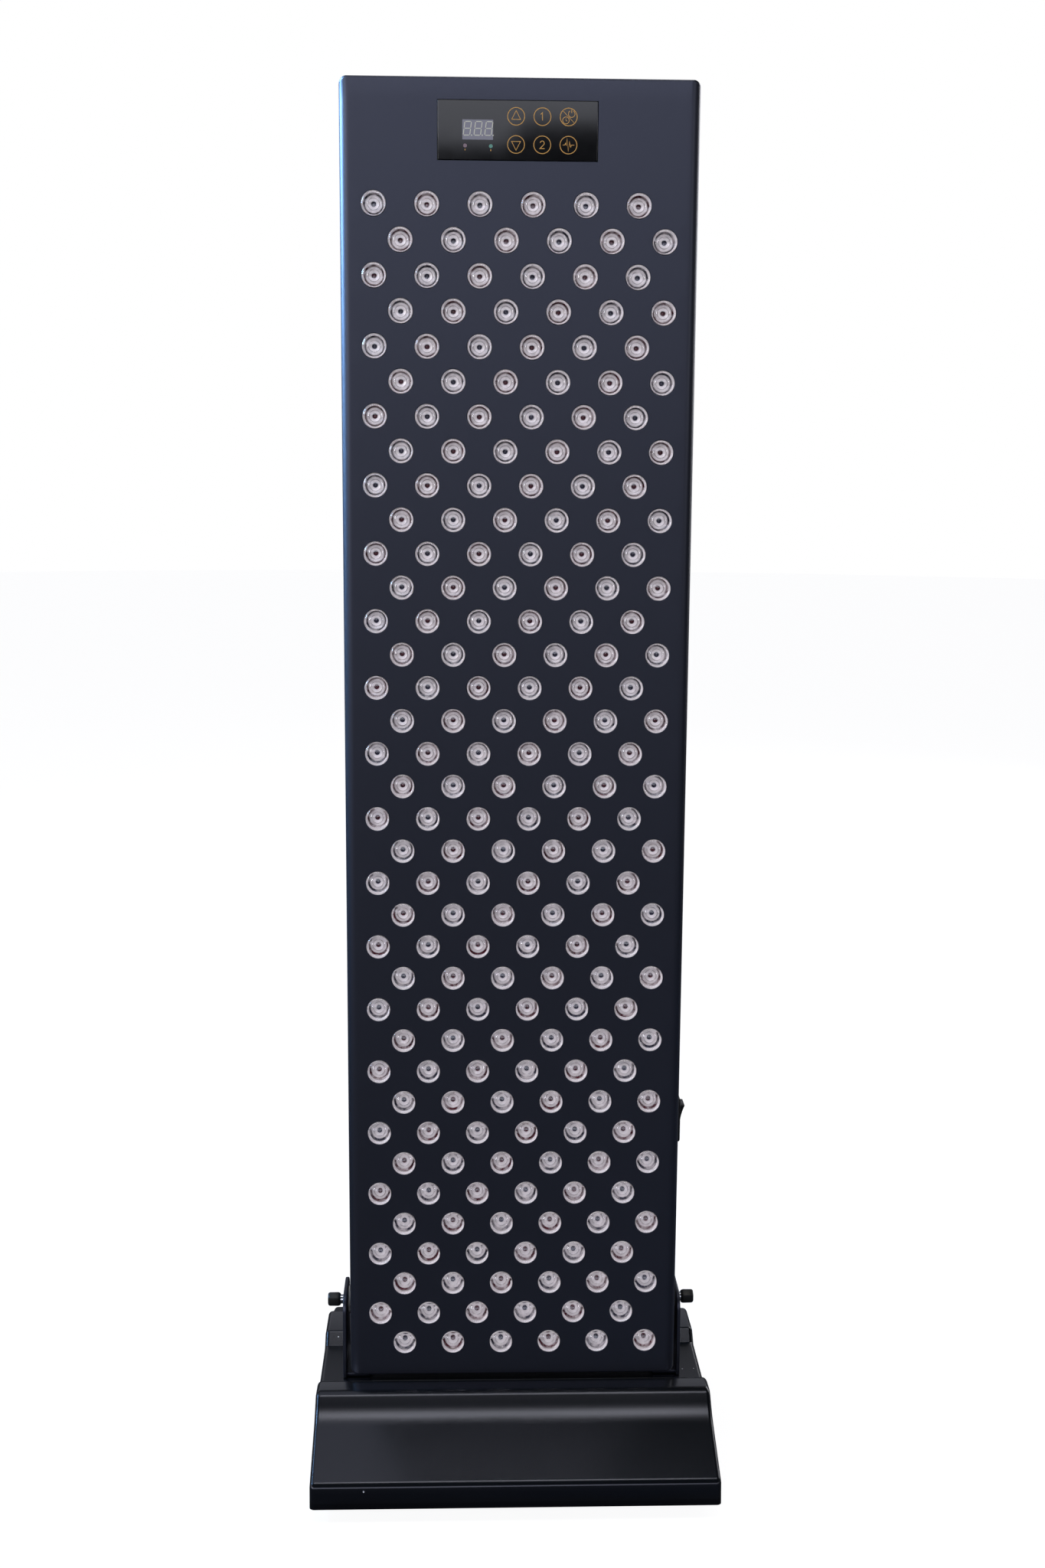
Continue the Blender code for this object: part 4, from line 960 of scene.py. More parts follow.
@dataclass
class Lenses:
    """Clear domed lenses in trays, each over a ringed cup with a lamp chip in its middle.

    A profile's pairs are a share of the lens's radius and a height in mm in front of the face.
    """

    field: LensField
    radius: float = 0.00722
    sides: int = 24
    cup_sides: int = 20
    # A flange, a small round and a low dome, closed by a flat back inside the face
    dome: Pairs = ((0, -1.1), (1, -1.1), (1, 0.6), (0.96953, 1.0), (0.86, 1.7), (0.62, 2.7),
                   (0.32, 3.4), (0, 3.7))
    # The rim under the painted highlight, the slope, the groove under the painted dark reflection
    # ring, the inner boss with its fine ring, and the chip
    cup: Pairs = ((0.985, 0.7), (0.985, -1.2), (0.80, -1.8), (0.68, -2.6), (0.64, -5.0),
                  (0.54, -5.4), (0.51, -4.0), (0.38, -3.8), (0.35, -4.1), (0.33, -3.8),
                  (0.13, -4.2), (0.10, -5.2), (0, -5.0))

    def __post_init__(self) -> None:
        """Takes the face's place from the solid."""
        self.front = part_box("front_cover")[0].y

    def _copies(self, centres: Array, profile: Pairs, sides: int) -> Array:
        """The same turned shape at many places, copies x rows x sides x 3.

        Args:
            centres: x and z of each copy.
            profile: its pairs, from the back or the rim inwards.
            sides: points round the axis.

        Returns:
            The points of all copies.
        """
        share, height = np.array(profile).T[..., None]
        reach = np.maximum(share * self.radius, POINT)
        flat = centres[:, None, None, :] + reach[..., None] * circle(1.0, sides)
        return upright(flat, self.front - height * MM)

    def build(self) -> None:
        """Builds the lenses and cups of each tray."""
        shares = np.array(self.cup)[:, 0]
        for tray in range(self.field.rows // self.field.rows_per_tray):
            rows = np.arange(self.field.rows_per_tray) + tray * self.field.rows_per_tray
            centres = self.field.centres(rows).reshape(-1, 2)
            turns = np.arange(self.field.columns) + (rows[:, None] + 1) // 2
            lamp = (turns % 2).reshape(-1, 1, 1).astype(float)
            skin = Skin()
            skin.grid(self._copies(centres, self.dome, self.sides))
            clear = skin.build(f"lenses_{tray + 1}", "panel", [LENS_CLEAR], "lens_plastic",
                               (f"lens_tray_{tray + 1}",))
            # Clear plastic lets the lamps' light through to the cups
            clear.visible_shadow = False
            skin = Skin()
            cups = self._copies(centres, self.cup, self.cup_sides)
            skin.grid(cups)
            skin.mark("ring_share", np.broadcast_to(shares[:, None], cups.shape[:-1]))
            skin.mark("red_lamp", np.broadcast_to(lamp, cups.shape[:-1]))
            # The cups' rings carry a painted highlight at the rim and a painted reflection in the
            # dark ring
            skin.build(f"lens_cups_{tray + 1}", "panel", [LENS_CUP], "lens_plastic")


# The control pane


class Print(IntEnum):
    """The pane's finishes, in the order of their numbers."""

    GLASS, GOLD, WINDOW, SEGMENT, PINK, GREEN = range(6)


@dataclass(frozen=True)
class Symbol:
    """One printed line on a key.

    The column counts from the left, the row is 1 for the upper keys and -1 for the lower, and
    the points are in mm from the key's middle.
    """

    column: int
    row: int
    points: Pairs
    width_share: float = 1.0
    closed: bool = False


# An arrow up and one down, plain numerals, a power ring and stroke above a small clock, parted
# by a slanted line, and a pulse
SYMBOLS = (
    Symbol(0, 1, ((-2.6, -1.7), (2.6, -1.7), (0, 3.2)), closed=True),
    Symbol(0, -1, ((-2.6, 1.7), (2.6, 1.7), (0, -3.2)), closed=True),
    Symbol(1, 1, ((-1.0, 1.2), (0, 2.1), (0, -2.1)), 1.3),
    Symbol(1, -1, arc((0, 0.9), 1.2, 170, -215, 12) + ((-1.3, -2.1), (1.4, -2.1)), 1.3),
    Symbol(2, 1, arc((1.7, 1.7), 1.9, 120, 300, 24)),
    Symbol(2, 1, ((1.7, 2.2), (1.7, 4.2))),
    Symbol(2, 1, arc((-1.6, -1.9), 1.9, 0, 360)[:-1], closed=True),
    Symbol(2, 1, ((-1.6, -0.8), (-1.6, -1.9), (-0.8, -2.3)), 0.7),
    Symbol(2, 1, ((-3.4, 3.4), (3.4, -3.4)), 0.8),
    Symbol(2, -1, ((-3.3, 0), (-2.2, 0), (-1.7, 1.0), (-1.3, 0), (-0.8, 3.4), (-0.1, -3.4),
                   (0.6, 1.7), (1.3, -1.0), (1.8, 0), (3.4, 0))))


@dataclass
class ControlPane:
    """The printed pane: keys in gold rings, a small display window and two indicators."""

    corner: float = 0.0006
    edge: float = 0.0003
    print_height: float = 0.00003
    line: float = 0.00044
    thin_line: float = 0.00034
    key_radius: float = 0.00490
    key_columns: tuple[float, ...] = (-0.0010, 0.0142, 0.0294)
    key_row: float = 0.0078
    window: Pair = (0.0178, 0.0111)
    window_place: Pair = (-0.0232, 0.0002)
    window_corner: float = 0.0003
    # The side of a figure's square, the length of its lying and standing bars, and its point
    figure: float = 0.0038
    bar_shares: Pair = (0.86, 0.92)
    point_share: float = 0.78
    figure_pitch: float = 0.0062
    figure_shift: Pair = (0.0002, 0.0007)
    slant: float = 0.13
    bar: float = 0.0005
    point_radius: float = 0.0004
    indicators: tuple[tuple[float, float, Print], ...] = ((-0.0305, -0.0087, Print.PINK),
                                                          (-0.0156, -0.0089, Print.GREEN))
    indicator_radius: float = 0.0011
    tick: Pair = (0.0018, 0.0027)
    tick_width: float = 0.0005

    def __post_init__(self) -> None:
        """Takes the pane's place from the solid."""
        self.low, self.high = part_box("control_pane")
        place = middle("control_pane")
        self.plane = Plane((place.x, self.low.y, place.z), Facing.FRONT)
        self.skin = Skin()

    def _stroke(self, points: Array | Pairs, width: float, closed: bool = False) -> None:
        """Prints a gold line of even width: the points moved to its left and its right.

        Args:
            points: where the line runs.
            width: the line's width.
            closed: whether the last point joins the first.
        """
        path = np.array(points, float)
        left, right = (inset(path, move, closed) for move in (width / 2, -width / 2))
        sides = [(left, 0), (left, self.print_height), (right, self.print_height), (right, 0)]
        if closed:
            self.skin.stack(self.plane, sides, Print.GOLD, ends=False, ring=True)
        else:
            loops = [self.plane.lift(side, rise) for side, rise in sides]
            self.skin.solid(np.stack(loops, axis=1), Print.GOLD)

    def _fill(self, outline: Array, slot: Print, above: float = 0) -> None:
        """Prints a filled outline on the pane, or above it on another print."""
        self.skin.stack(self.plane, [(outline, above), (outline, above + self.print_height)],
                        slot)

    def _keys(self) -> None:
        """Prints the six keys: a ring round each and its symbol."""
        for x in self.key_columns:
            for y in (self.key_row, -self.key_row):
                self._stroke(arc((x, y), self.key_radius, 0, 360)[:-1], self.line, closed=True)
        for symbol in SYMBOLS:
            centre = np.array([self.key_columns[symbol.column], symbol.row * self.key_row])
            self._stroke(centre + np.array(symbol.points) * MM,
                         self.thin_line * symbol.width_share, symbol.closed)

    def _display(self) -> None:
        """The grey window with three slanted figures of seven unlit segments and their points.

        A segment is a bar with pointed ends, lying or standing on the figure's square.
        """
        centre = np.array(self.window_place)
        self._fill(rounded_box(*self.window, self.window_corner, 2) + centre, Print.WINDOW)
        lying = np.array([[-0.42, -0.5], [0.42, -0.5], [0.5, 0], [0.42, 0.5], [-0.42, 0.5],
                          [-0.5, 0]])
        standing = lying[:, ::-1] * np.array([1, -1])
        size, bar = self.figure, self.bar
        width, height = size * np.array(self.bar_shares)
        level, post = lying * np.array([width, bar]), standing * np.array([bar, height])
        # Each segment's shape and its middle in half figures
        segments = ((level, 0, 1), (level, 0, 0), (level, 0, -1), (post, -0.5, 0.5),
                    (post, 0.5, 0.5), (post, -0.5, -0.5), (post, 0.5, -0.5))
        for place in (-1, 0, 1):
            figure = centre + self.figure_shift + np.array([place * self.figure_pitch, 0])
            for shape, x, y in segments:
                flat = shape + np.array([x, y]) * size
                flat[:, 0] += flat[:, 1] * self.slant
                self._fill(figure + flat, Print.SEGMENT, self.print_height)
            corner = size * np.array([self.point_share - self.slant, -1])
            self._fill(circle(self.point_radius, 12) + figure + corner, Print.SEGMENT,
                       self.print_height)

    def build(self) -> None:
        """Builds the pane and all that is printed on it."""
        low, high = self.low, self.high
        back = Plane((self.plane.origin[0], high.y, self.plane.origin[2]), Facing.FRONT)
        outline = rounded_box(high.x - low.x, high.z - low.z, self.corner, 4)
        self.skin.plate(back, outline, high.y - low.y, self.edge, Print.GLASS)
        self._keys()
        self._display()
        for x, y, slot in self.indicators:
            self._fill(circle(self.indicator_radius, 20) + np.array([x, y]), slot)
            self._stroke([(x, y - drop) for drop in self.tick], self.tick_width)
        self.skin.build("touch_pane", "panel",
                        [PANE_GLOSS, GOLD_PRINT, DISPLAY_GREY, SEGMENT_PALE, DOT_PINK, DOT_GREEN],
                        "control_pane", ("control_pane",))


# The back


# Half the length, half the height and the corner radius of a hole, or nothing
Hole = Triple | None


@dataclass
class BackPlate:
    """The slotted back plate, its screws and the mains inlet."""

    vent_slot: float = 0.004
    vent_slots: int = 9
    vent_reach: float = 0.035
    steps_across: int = 12
    steps_up: int = 8
    corner: float = 0.0042
    fit: float = 0.0003
    screw_shank: float = 0.0015
    # Shares of the head's radius and height: its side and crown, then its hexagonal socket
    screw_head: Pairs = ((1, 0), (1, 0.35), (0.86, 0.75), (0.62, 1))
    screw_socket: Pairs = ((0.42, 1), (0.40, 0.3), (0, 0.2))
    inlet_body: Pair = (0.028, 0.0204)
    inlet_recess: Pair = (0.0242, 0.0166)
    # The corners of the inlet's flange, body and recess
    inlet_corners: Triple = (0.003, 0.001, 0.0012)
    inlet_floor: float = 0.0028
    inlet_edge: float = 0.0006
    inlet_mouth: float = 0.0005
    # Each pin's place beside the middle, then the width, height and length of all, and the
    # radii along and at the end of them
    pins: Pairs = ((-0.007, -0.002), (0, 0.002), (0.007, -0.002))
    pin: Triple = (0.002, 0.004, 0.012)
    pin_edges: Pair = (0.0003, 0.0005)
    flange_screw_reach: float = 0.020
    flange_screw_sunk: float = 0.0004
    flange_screw: Pairs = ((MERGE, -0.001), (0.0030, 0), (0.0030, 0.0003), (0.0024, 0.0012),
                           (0.0012, 0.0014), (MERGE, 0.0009))

    def __post_init__(self) -> None:
        """Takes the plate's corners and the fans' places from the solids."""
        self.low, self.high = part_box("back_cover")
        self.fans = [middle(f"fan_frame_{index}").z for index in range(1, 5)]
        self.inlet = middle("power_inlet").z
        self.outside = self.high.y + self.fit
        self.skin = Skin()

    def _outline(self, z: Array) -> Array:
        """Round a block of the plate, counter-clockwise from its lower left corner.

        Points near the plate's top and bottom are drawn in to its round corners.

        Args:
            z: the heights of the points along both sides, from the lowest up.

        Returns:
            x and z of each point.
        """
        side, r = self.high.x, self.corner
        x = np.linspace(-side, side, self.steps_across + 1)
        rows = [np.stack(np.broadcast_arrays(*row), axis=1) for row in (
            (x[:-1], z[0]), (side, z[:-1]), (x[:0:-1], z[-1]), (-side, z[:0:-1]))]
        outline = np.concatenate(rows)
        into = r - np.minimum(outline[:, 1] - self.low.z, self.high.z - outline[:, 1])
        limit = side - r + np.sqrt(np.maximum(r ** 2 - np.clip(into, 0, r) ** 2, 0))
        outline[:, 0] = np.clip(outline[:, 0], -limit, limit)
        return outline

    def _strip(self, low: float, high: float, hole: Hole) -> None:
        """A strip of the plate across its whole width, with or without a hole.

        The strip's outline and the hole's have as many points each, and straight lines join
        them.

        Args:
            low: the strip's lower edge.
            high: its upper edge.
            hole: the hole's size, or nothing.
        """
        outline = self._outline(np.linspace(low, high, self.steps_up + 1))
        right, left = self.steps_across, 2 * self.steps_across + self.steps_up
        front, back = self.low.y, self.high.y
        if hole is None:
            lines = np.stack([outline[:right + 1], outline[left:right + self.steps_up - 1:-1]])
            for y in (front, back):
                self.skin.grid(upright(lines, y), wrap=False)
                for start in (right, left):
                    end = (start + np.arange(self.steps_up + 1)) % len(outline)
                    self.skin.cap(upright(outline[end], y))
            return
        half_x, half_z, radius = hole
        straight = half_x - radius
        angle = np.linspace(-math.pi / 2, math.pi / 2, self.steps_up + 1)
        rise = np.sign(np.round(angle, 6)) * (half_z - radius)
        bend = radius * ways(angle) + np.stack([np.full(len(rise), straight), rise], axis=1)
        run = np.linspace(-straight, straight, self.steps_across + 1)[:-1]
        under = np.stack([run, np.full(len(run), -half_z)], axis=1)
        ring = np.concatenate([under, bend[:-1], -under, -bend[:-1]])
        ring[:, 1] += (low + high) / 2
        self.skin.grid(np.stack([upright(outline, back), upright(ring, back),
                                 upright(ring, front), upright(outline, front)]))

    def _strips(self) -> list[tuple[float, float, Hole]]:
        """Parts the plate into strips, each with one hole or none.

        Returns:
            The lower edge, upper edge and hole of each, from the lowest up.
        """
        width, height = self.inlet_body
        fit, radius = self.fit, self.inlet_corners[1]
        holes = [(self.inlet - height, self.inlet + height,
                  (width / 2 + fit, height / 2 + fit, radius))]
        pitch, slot = 2 * self.vent_reach / self.vent_slots, self.vent_slot / 2
        for fan in self.fans:
            for index in range(self.vent_slots):
                rise = (index - (self.vent_slots - 1) / 2) * pitch
                half = math.sqrt(self.vent_reach ** 2 - (abs(rise) + slot) ** 2)
                holes.append((fan + rise - pitch / 2, fan + rise + pitch / 2, (half, slot, slot)))
        holes.sort()
        starts = [self.low.z + self.corner, *(high for _, high, _ in holes)]
        ends = [*(low for low, _, _ in holes), self.high.z - self.corner]
        blanks = [(low, high, None) for low, high in zip(starts, ends) if high > low + MERGE]
        blanks += [(self.low.z, starts[0], None), (ends[-1], self.high.z, None)]
        return sorted(holes + blanks, key=lambda strip: strip[0])

    def _plate(self) -> None:
        """Builds the plate from its strips, and its outer edge."""
        strips = self._strips()
        for low, high, hole in strips:
            self._strip(low, high, hole)
        rise = [np.linspace(low, high, self.steps_up + 1)[:-1] for low, high, _ in strips]
        loop = self._outline(np.concatenate([*rise, [self.high.z]]))
        self.skin.grid(np.stack([upright(loop, self.low.y), upright(loop, self.high.y)]))
        self.skin.build("back_plate", "panel", [CASE_PAINT], "case_paint", ("back_cover",))

    def _screws(self) -> None:
        """Button-head screws with a hexagonal socket: the socket's rings are hexagons."""
        ring, six = circle(1.0, 24), hexagon(1.0, 24)
        for index in range(1, 9):
            node = f"back_cover_screw_{index}"
            low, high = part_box(node)
            radius = (high.x - low.x) / 2
            height, tip = high.y - self.outside, low.y - self.outside
            loops = [(ring * POINT, tip), (ring * self.screw_shank, tip),
                     (ring * self.screw_shank, 0)]
            for shape, profile in ((ring, self.screw_head), (six, self.screw_socket)):
                loops += [(shape * max(radius * share, POINT), height * rise)
                          for share, rise in profile]
            skin = Skin()
            skin.stack(rear_plane(node, self.outside), loops, ends=False)
            skin.build(f"back_screw_{index}", "panel", [ZINC], "plated_steel", (node,))

    def _inlet(self) -> None:
        """The mains inlet: a flange, a deep recess with three pins, and two flange screws."""
        node = "power_inlet"
        low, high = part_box(node)
        flange, floor = high.y - self.outside, self.inlet_floor - self.outside
        sizes = ((high.x - low.x, high.z - low.z), self.inlet_body, self.inlet_recess)
        outer, body, recess = (rounded_box(*size, corner, 6)
                               for size, corner in zip(sizes, self.inlet_corners))
        edge, mouth = self.inlet_edge, self.inlet_mouth
        skin = Skin()
        skin.stack(rear_plane(node, self.outside),
                   [(body, low.y - self.outside), (body, 0), (outer, 0), (outer, flange - edge),
                    (inset(outer, edge), flange), (inset(recess, -mouth), flange),
                    (recess, flange - mouth), (recess, floor)])
        width, height, length = self.pin
        corner, tip = self.pin_edges
        for side, up in self.pins:
            skin.plate(rear_plane(node, self.inlet_floor, side, up),
                       rounded_box(width, height, corner, 2), length, tip, 1)
        for side in (-self.flange_screw_reach, self.flange_screw_reach):
            skin.turned(rear_plane(node, high.y - self.flange_screw_sunk, side),
                        self.flange_screw, 24, 2)
        skin.build("mains_inlet", "panel", [BLACK_ABS, NICKEL, ZINC], "black_plastic", (node,))

    def build(self) -> None:
        """Builds the plate, its screws and the inlet."""
        self._plate()
        self._screws()
        self._inlet()


@dataclass
class Fans:
    """Four cooling fans: a frame with a round bore, and a rotor with swept blades."""

    bore: float = 0.038
    corner_power: float = 14.0
    edge: float = 0.0006
    motor: float = 0.017
    # The plate's height, the height of its side and the slope's width
    motor_plate: Triple = (0.0037, 0.0030, 0.0008)
    motor_depth: float = 0.004
    # Width, height and edge radius
    strut: Triple = (0.005, 0.0036, 0.0005)
    # Radius, length and bevel
    shaft: Triple = (0.0020, 0.0145, 0.0003)
    shaft_depth: float = 0.018
    hub_edge: float = 0.0012
    # Radius and depth
    hub_bore: Pair = (0.0024, 0.012)
    blades: int = 7
    blade_root: float = 0.001
    tip_gap: float = 0.0015
    rim_gap: float = 0.0004
    chord: float = 0.024
    root_chord_share: float = 0.72
    thickness: float = 0.0014
    bow: float = 0.0022
    pitch_degrees: Pair = (50, 28)
    sweep: float = 0.35
    sweep_power: float = 1.5

    def _frame(self, index: int) -> None:
        """A square ring whose outline is a superellipse, with struts and the motor's plate.

        Args:
            index: the fan's number.
        """
        node = f"fan_frame_{index}"
        low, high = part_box(node)
        half, depth = (high.x - low.x) / 2, high.y - low.y
        ring = circle(1.0, 96)
        power, edge, bore, motor = self.corner_power, self.edge, self.bore, self.motor
        square = ring / np.sum(np.abs(ring) ** power, axis=1, keepdims=True) ** (1 / power)
        skin = Skin()
        skin.stack(rear_plane(node, low.y),
                   [(square * (half - edge), 0), (square * half, edge),
                    (square * half, depth - edge), (square * (half - edge), depth),
                    (ring * (bore + edge), depth), (ring * bore, depth - edge),
                    (ring * bore, edge), (ring * (bore + edge), 0)], ends=False, ring=True)
        back = rear_plane(node, high.y - self.motor_depth)
        top, side, slope = self.motor_plate
        skin.turned(back, [(MERGE, 0), (motor, 0), (motor, side), (motor - slope, top),
                           (MERGE, top)], 48)
        radius, length, tip = self.shaft
        skin.turned(rear_plane(node, high.y - self.shaft_depth),
                    [(MERGE, 0), (radius - tip, 0), (radius, tip), (radius, length),
                     (MERGE, length)], 20)
        width, height, round_edge = self.strut
        for size in ((bore + half, width), (width, bore + half)):
            skin.plate(back, rounded_box(*size, round_edge, 2), height, round_edge)
        skin.build(f"fan_housing_{index}", "panel", [BLACK_ABS], "black_plastic", (node,))

    def _rotor(self, index: int) -> None:
        """A cupped hub and seven blades, each a twisted and curved strip with two faces.

        Along a blade the radius grows from the hub to the tip, its pitch falls and it sweeps
        forward; across it the strip is bowed and thins to both edges.

        Args:
            index: the fan's number.
        """
        node = f"fan_rotor_{index}"
        low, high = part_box(node)
        plane = rear_plane(node, low.y)
        depth, motor, edge = high.y - low.y, self.motor, self.hub_edge
        hole, hole_depth = self.hub_bore
        skin = Skin()
        skin.turned(plane, [(MERGE, 0), (motor - edge, 0), (motor, edge), (motor, depth),
                            (hole, depth), (hole, depth - hole_depth),
                            (MERGE, depth - hole_depth)], 48)
        along = np.linspace(0, 1, 9)[:, None]
        side = np.linspace(0, TAU, 16, endpoint=False)[None, :]
        root, tip = motor - self.blade_root, self.bore - self.tip_gap
        radius = root + along * (tip - root)
        root_pitch, tip_pitch = self.pitch_degrees
        pitch = np.radians(root_pitch + (tip_pitch - root_pitch) * along)
        share = self.root_chord_share
        chord = self.chord * (share + (1 - share) * along)
        across = np.cos(side) * chord / 2
        bow = self.bow * (1 - (2 * across / chord) ** 2)
        thick = bow + np.sin(side) * self.thickness / 2
        turn = (self.sweep * along ** self.sweep_power
                + (across * np.cos(pitch) - thick * np.sin(pitch)) / radius)
        limit = depth / 2 - self.rim_gap
        rise = np.clip(across * np.sin(pitch) + thick * np.cos(pitch), -limit, limit)
        for blade in range(self.blades):
            flat = radius[..., None] * ways(turn + TAU * blade / self.blades)
            skin.solid(plane.lift(flat, depth / 2 + rise))
        skin.build(f"fan_blades_{index}", f"fan_{index}", [BLACK_ABS], "black_plastic", (node,))

    def build(self) -> None:
        """Builds the four fans."""
        for index in range(1, 5):
            self._frame(index)
            self._rotor(index)


# The rocker switch


@dataclass
class RockerSwitch:
    """The mains switch on the right side: a rounded bezel and a dished rocker in its well."""

    bezel: Pair = (0.022, 0.029)
    body: Pair = (0.0186, 0.0256)
    well: Pair = (0.0140, 0.0222)
    # The corners of the bezel, the body and the well
    corners: Triple = (0.0022, 0.0008, 0.0006)
    body_depth: float = 0.020
    fit: float = 0.0003
    bezel_edge: float = 0.0010
    well_edge: float = 0.0004
    floor: float = 0.0090
    rocker: Pair = (0.0134, 0.0196)
    rocker_edge: float = 0.0005
    face: float = 0.0062
    horn: float = 0.0014
    foot: float = 0.0015
    tilt_degrees: float = 8.0
    # Radius and half the length
    pin: Pair = (0.0015, 0.0083)
    # Width, length and corner radius
    stroke: Triple = (0.0006, 0.0034, 0.0002)
    # Outer and inner radius
    ring: Pair = (0.0017, 0.0012)
    mark_reach: float = 0.0056
    # The print's underside and top, from the rocker's face
    mark_levels: Pair = (-0.0001, 0.00004)

    def __post_init__(self) -> None:
        """Takes the rocker's axis from its joint."""
        self.axis = pivot("power_rocker")
        slope = math.radians(self.tilt_degrees)
        self.turn = np.array([[math.cos(slope), math.sin(slope)],
                              [-math.sin(slope), math.cos(slope)]])

    def _housing(self) -> None:
        """The bezel, the body behind it and the well, one inside the other."""
        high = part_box("switch_housing")[1]
        place = middle("switch_housing")
        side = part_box("front_cover")[1].x
        outer, body, well = (rounded_box(*size, corner, 6) for size, corner
                             in zip((self.bezel, self.body, self.well), self.corners))
        proud, edge, lip = high.x - side, self.bezel_edge, self.well_edge
        skin = Skin()
        skin.stack(Plane((side, place.y, place.z), Facing.RIGHT),
                   [(body, -self.body_depth), (body, self.fit), (outer, self.fit),
                    (outer, proud - edge), (inset(outer, 0.3 * edge), proud - 0.3 * edge),
                    (inset(outer, edge), proud), (inset(well, -lip), proud),
                    (well, proud - lip), (well, proud - self.floor)])
        skin.build("switch_body", "panel", [BLACK_ABS], "black_plastic", ("switch_housing",))

    def _dish(self, along: Array) -> Array:
        """The face's height: its middle's plus the horn times the square of the share along."""
        return self.face + self.horn * (along / (self.rocker[1] / 2)) ** 2

    def _lay(self, height: Array, along: Array, across: Array | float) -> Array:
        """Tilts points of the rocker about its axis.

        Args:
            height: how far they stand out of the axis.
            along: how far they are along the rocker.
            across: how far they are across it.

        Returns:
            The points in the object.
        """
        x, z = self.turn @ np.stack([height, along])
        return np.array(self.axis) + np.stack([x, np.broadcast_to(across, x.shape), z], axis=1)

    def _rocker(self) -> None:
        """The rocker: a dished face between two raised ends, carried across its width."""
        width, length = self.rocker
        along = np.linspace(-1, 1, 17) * length / 2
        outline = np.concatenate([np.stack([self._dish(along), along], axis=1),
                                  [[-self.foot, length / 2], [-self.foot, -length / 2]]])
        skin = Skin()
        skin.solid(np.stack([self._lay(*inset(outline, move).T, rise - width / 2)
                             for move, rise in edge_levels(width, self.rocker_edge)]))
        self._marks(skin)
        radius, half = self.pin
        skin.turned(Plane((self.axis[0], self.axis[1] - half, self.axis[2]), Facing.BACK),
                    [(MERGE, 0), (radius, 0), (radius, 2 * half), (MERGE, 2 * half)], 16)
        skin.build("rocker_key", "rocker", [ROCKER_ABS, WHITE_PRINT], "black_plastic",
                   ("switch_rocker",))

    def _marks(self, skin: Skin) -> None:
        """Prints a stroke on one end of the rocker and a ring on the other.

        Args:
            skin: the rocker's surfaces.
        """
        shift = np.array([0, self.mark_reach])
        stroke = rounded_box(*self.stroke, 2) + shift
        outer, inner = (circle(radius, 24) - shift for radius in self.ring)
        low, high = self.mark_levels

        def printed(*loops: tuple[Array, float]) -> Array:
            """Lays printed outlines on the dished face, each a little under or over it."""
            return np.stack([self._lay(self._dish(flat[:, 1]) + out, flat[:, 1], flat[:, 0])
                             for flat, out in loops])

        skin.solid(printed((stroke, low), (stroke, high)), 1)
        skin.grid(printed((outer, low), (outer, high), (inner, high), (inner, low)), 1, ring=True)

    def build(self) -> None:
        """Builds the housing and the rocker."""
        self._housing()
        self._rocker()


# The pivot


